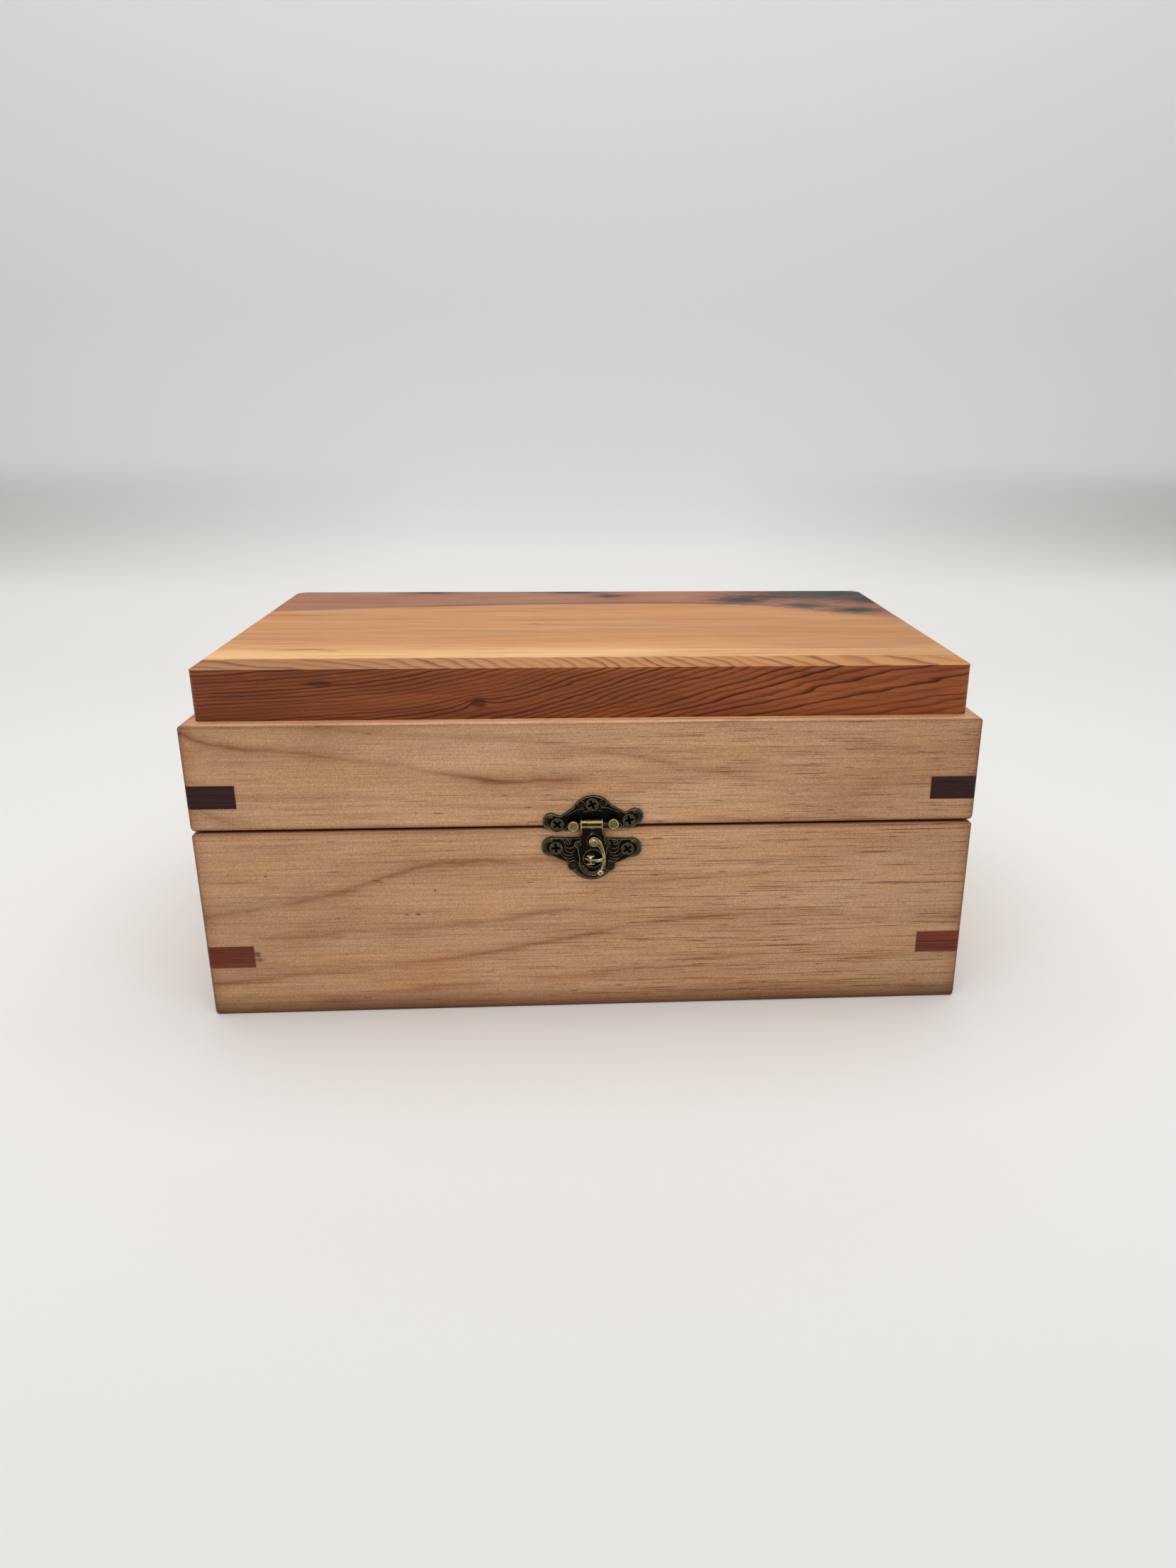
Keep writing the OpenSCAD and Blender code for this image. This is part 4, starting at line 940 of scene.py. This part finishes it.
def strap(centre, path, sides=20):
    """Rings of points (mm) of a rounded strap round path (mm up, mm out, half-width) over centre."""
    rings = []
    for i, (v, w, half) in enumerate(path):
        before, after = path[max(i - 1, 0)], path[min(i + 1, len(path) - 1)]
        way = Vector((after[0] - before[0], after[1] - before[1])).normalized()
        ring = []
        for c, s in circle(sides):
            out = STAPLE_T * s
            ring.append((centre[0] + half * c, -(w + out * way.x), centre[1] + v - out * way.y))
        rings.append(ring)
    return rings, False


def turned(centre, profile, sides=40):
    """Rings of points (mm) of a closed profile (radius, mm out) turned about centre."""
    return [[(centre[0] + r * c, -w, centre[1] + r * s) for r, w in profile]
            for c, s in circle(sides)], True


def fused(name, shells):
    """One watertight casting from overlapping closed shells in mm, fused by a voxel remesh, then eased."""
    points, faces = [], []
    for rings, endless in shells:
        first, count = len(points), len(rings[0])
        points += [p for ring in rings for p in ring]
        for r in range(len(rings) if endless else len(rings) - 1):
            here, there = first + r * count, first + (r + 1) % len(rings) * count
            for i in range(count):
                after = (i + 1) % count
                faces.append((here + i, here + after, there + after, there + i))
        if not endless:
            faces.append([first + i for i in reversed(range(count))])
            faces.append([first + (len(rings) - 1) * count + i for i in range(count)])
    mesh = bpy.data.meshes.new(name)
    mesh.from_pydata(points, [], faces)
    shell = new_object(name + "_shells", mesh)
    remesh = shell.modifiers.new("fuse", "REMESH")
    remesh.mode = "VOXEL"
    remesh.voxel_size = VOXEL
    ease = shell.modifiers.new("ease", "SMOOTH")
    ease.iterations = 3
    solid = bpy.data.meshes.new_from_object(shell.evaluated_get(bpy.context.evaluated_depsgraph_get()))
    bpy.data.objects.remove(shell)
    solid.transform(Matrix.Scale(MM, 4) @ Matrix.Translation((LATCH_X, -HALF_D, SEAM_Z)))
    solid.shade_smooth()
    return new_object(name, solid)


# the hook: a stem from the pivot down to a round knob, an arm that reaches through the staple, and a flat
# head over the rivet
stem = smooth_path([(0.45, -3.4), (1.3, -3.85), (2.05, -4.9), (2.6, -6.2), (2.95, -7.6), (3.05, -9.0),
                    (2.9, -10.3), (2.5, -11.5), (1.95, -12.6)])
stem_halves = (1.1, 1.0, 0.72, 0.5, 0.42, 0.4, 0.38, 0.34, 0.34)
arm = scroll(PIVOT, 5.85, 5.5, -61, -119, 32)
arm_halves = (0.52, 0.5, 0.46, 0.38, 0.16)
head = [(0.66, 2.04), (1.36, 2.04), (1.45, 2.14), (1.45, 2.74), (1.34, 2.86), (0.66, 2.86)]
knob_turns = [math.radians(12 * i) for i in range(16)]
knob = [(0.95 * math.sin(a) + 0.001, 3.12 - 0.93 * math.cos(a)) for a in knob_turns]
hook = fused("hook_casting", [bar(stem, stem_halves, 0.4), bar(arm, arm_halves, 0.4),
                              turned(PIVOT, head), turned(stem[-1], knob)])
hook.data.materials.append(hook_brass)
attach(hook, "hook")
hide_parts("swing_hook")

# the staple: legs in the plate, then a bow, broad at its shoulders and waisted where the arm goes through
bow = [(1.2, 0.4, 0.5), (1.2, 1.2, 0.5), (1.22, 1.9, 0.85)]
for i in range(25):
    a = math.radians(7.5 * i)
    shoulder = abs(math.cos(a))
    bow.append((1.2 * math.cos(a), 2.45 + 1.15 * math.sin(a), 0.28 + 0.95 * shoulder ** 6))
bow += [(-v, w, half) for v, w, half in bow[2::-1]]
staple = fused("staple_casting", [strap(STAPLE, bow)])
staple.data.materials.append(staple_brass)
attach(staple, "base")
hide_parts("latch_staple")

# ---- floor and backdrop ----


def sweep_floor():
    """One white sheet: a level floor that curves up into a backdrop behind the box."""
    half_width, front, bend_y, radius, top = 2.2, -1.6, 0.40, 0.24, 1.9
    line, steps = [(front, 0.0), (bend_y, 0.0)], 16
    for i in range(1, steps + 1):
        a = math.radians(90 * i / steps)
        line.append((bend_y + radius * math.sin(a), radius * (1 - math.cos(a))))
    line.append((bend_y + radius, top))
    verts = [(x, y, z) for y, z in line for x in (-half_width, half_width)]
    faces = [(2 * i, 2 * i + 1, 2 * i + 3, 2 * i + 2) for i in range(len(line) - 1)]
    mesh = bpy.data.meshes.new("paper_sweep")
    mesh.from_pydata(verts, [], faces)
    mesh.shade_smooth()
    sweep = new_object("paper_sweep", mesh)
    # matt white paper with painted shade: greyer where it curves up into the backdrop, greyer still towards
    # the sides of the bend, and darker towards the front
    material, tree, shader = new_material("matt_white_paper")
    parts = add(tree, SPLIT, (add(tree, COORDS, out="Object"),)).node
    x, y, z = (parts.outputs[axis] for axis in "XYZ")
    rise = shape(tree, z, 0.0, 0.5, [(0, 0), (0.04, 0.05), (0.08, 0.7), (0.14, 1), (0.5, 0.6)], 1.0)
    band = shape(tree, z, 0.0, 0.5, [(0, 0), (0.03, 0.1), (0.085, 1), (0.13, 0.2), (0.5, 0)], 1.0)
    side_shade = add(tree, RANGE, (add(tree, MATH, (x,), "ABSOLUTE"), 0.12, 0.5, 0.0, 1.0))
    colour = add(tree, MIX, {0: rise, 6: srgb("f4f3f1"), 7: srgb("e1e1e1")}, **RGBA)
    colour = tint(tree, colour, add(tree, MATH, (side_shade, band), "MULTIPLY"), 1.0, "d8d8d6")
    colour = shade(tree, colour, y, -0.1, -0.24, 1.0, 0.92)
    tree.links.new(colour, shader.inputs["Base Color"])
    shader.inputs["Roughness"].default_value = 0.9
    mesh.materials.append(material)


sweep_floor()

# ---- light ----


def soft_lamp(name, place, aim, size, power):
    """A rectangular soft box at place, turned to aim, in metres and watts."""
    light = bpy.data.lights.new(name, "AREA")
    light.shape = "RECTANGLE"
    light.size, light.size_y = size
    light.energy = power
    lamp = new_object(name, light)
    lamp.location = place
    lamp.rotation_euler = (Vector(aim) - Vector(place)).to_track_quat("-Z", "Y").to_euler()


middle = (0.0, 0.0, 0.0)
soft_lamp("overhead_soft_box", (0.0, 0.22, 0.95), middle, (1.3, 0.5), 2.9)
soft_lamp("front_soft_box", (0.0, -0.55, 0.95), middle, (1.2, 0.6), 3.6)
world = bpy.data.worlds.new("pale_room")
world.use_nodes = True
background = world.node_tree.nodes["Background"].inputs
background["Color"].default_value = (1.0, 0.99, 0.975, 1.0)
background["Strength"].default_value = 0.52
bpy.context.scene.world = world

# ---- camera ----


def studio_camera():
    """Camera held low in front of the box, pitched down, with a wide lens. Its focal length and the middle
    of its view are in pixels of the whole frame, and its place is in mm."""
    place = Vector((-4.17, -368.58, 166.53)) * MM
    pitch, roll, yaw = (math.radians(a) for a in (20.105, 0.448, -3.969))
    focal_px, middle_px, frame_px = 1606.3, (916.1, 1161.2), (1659, 2212)
    sensor = 36.0
    turn = Matrix.Rotation(roll, 3, "Y") @ Matrix.Rotation(pitch, 3, "X") @ Matrix.Rotation(-yaw, 3, "Z")
    right, ahead, up = (turn.transposed() @ Vector(axis) for axis in ((1, 0, 0), (0, 1, 0), (0, 0, 1)))
    data = bpy.data.cameras.new("studio_camera")
    data.sensor_fit = "AUTO"
    data.sensor_width = sensor
    data.lens = focal_px / max(frame_px) * sensor
    data.shift_x = (frame_px[0] / 2 - middle_px[0]) / max(frame_px)
    data.shift_y = (middle_px[1] - frame_px[1] / 2) / max(frame_px)
    data.clip_start = 0.01
    camera = new_object("studio_camera", data)
    camera.matrix_world = Matrix.Translation(place) @ Matrix((right, up, -ahead)).transposed().to_4x4()
    bpy.context.scene.camera = camera


studio_camera()
bpy.context.scene.view_settings.view_transform = "Standard"
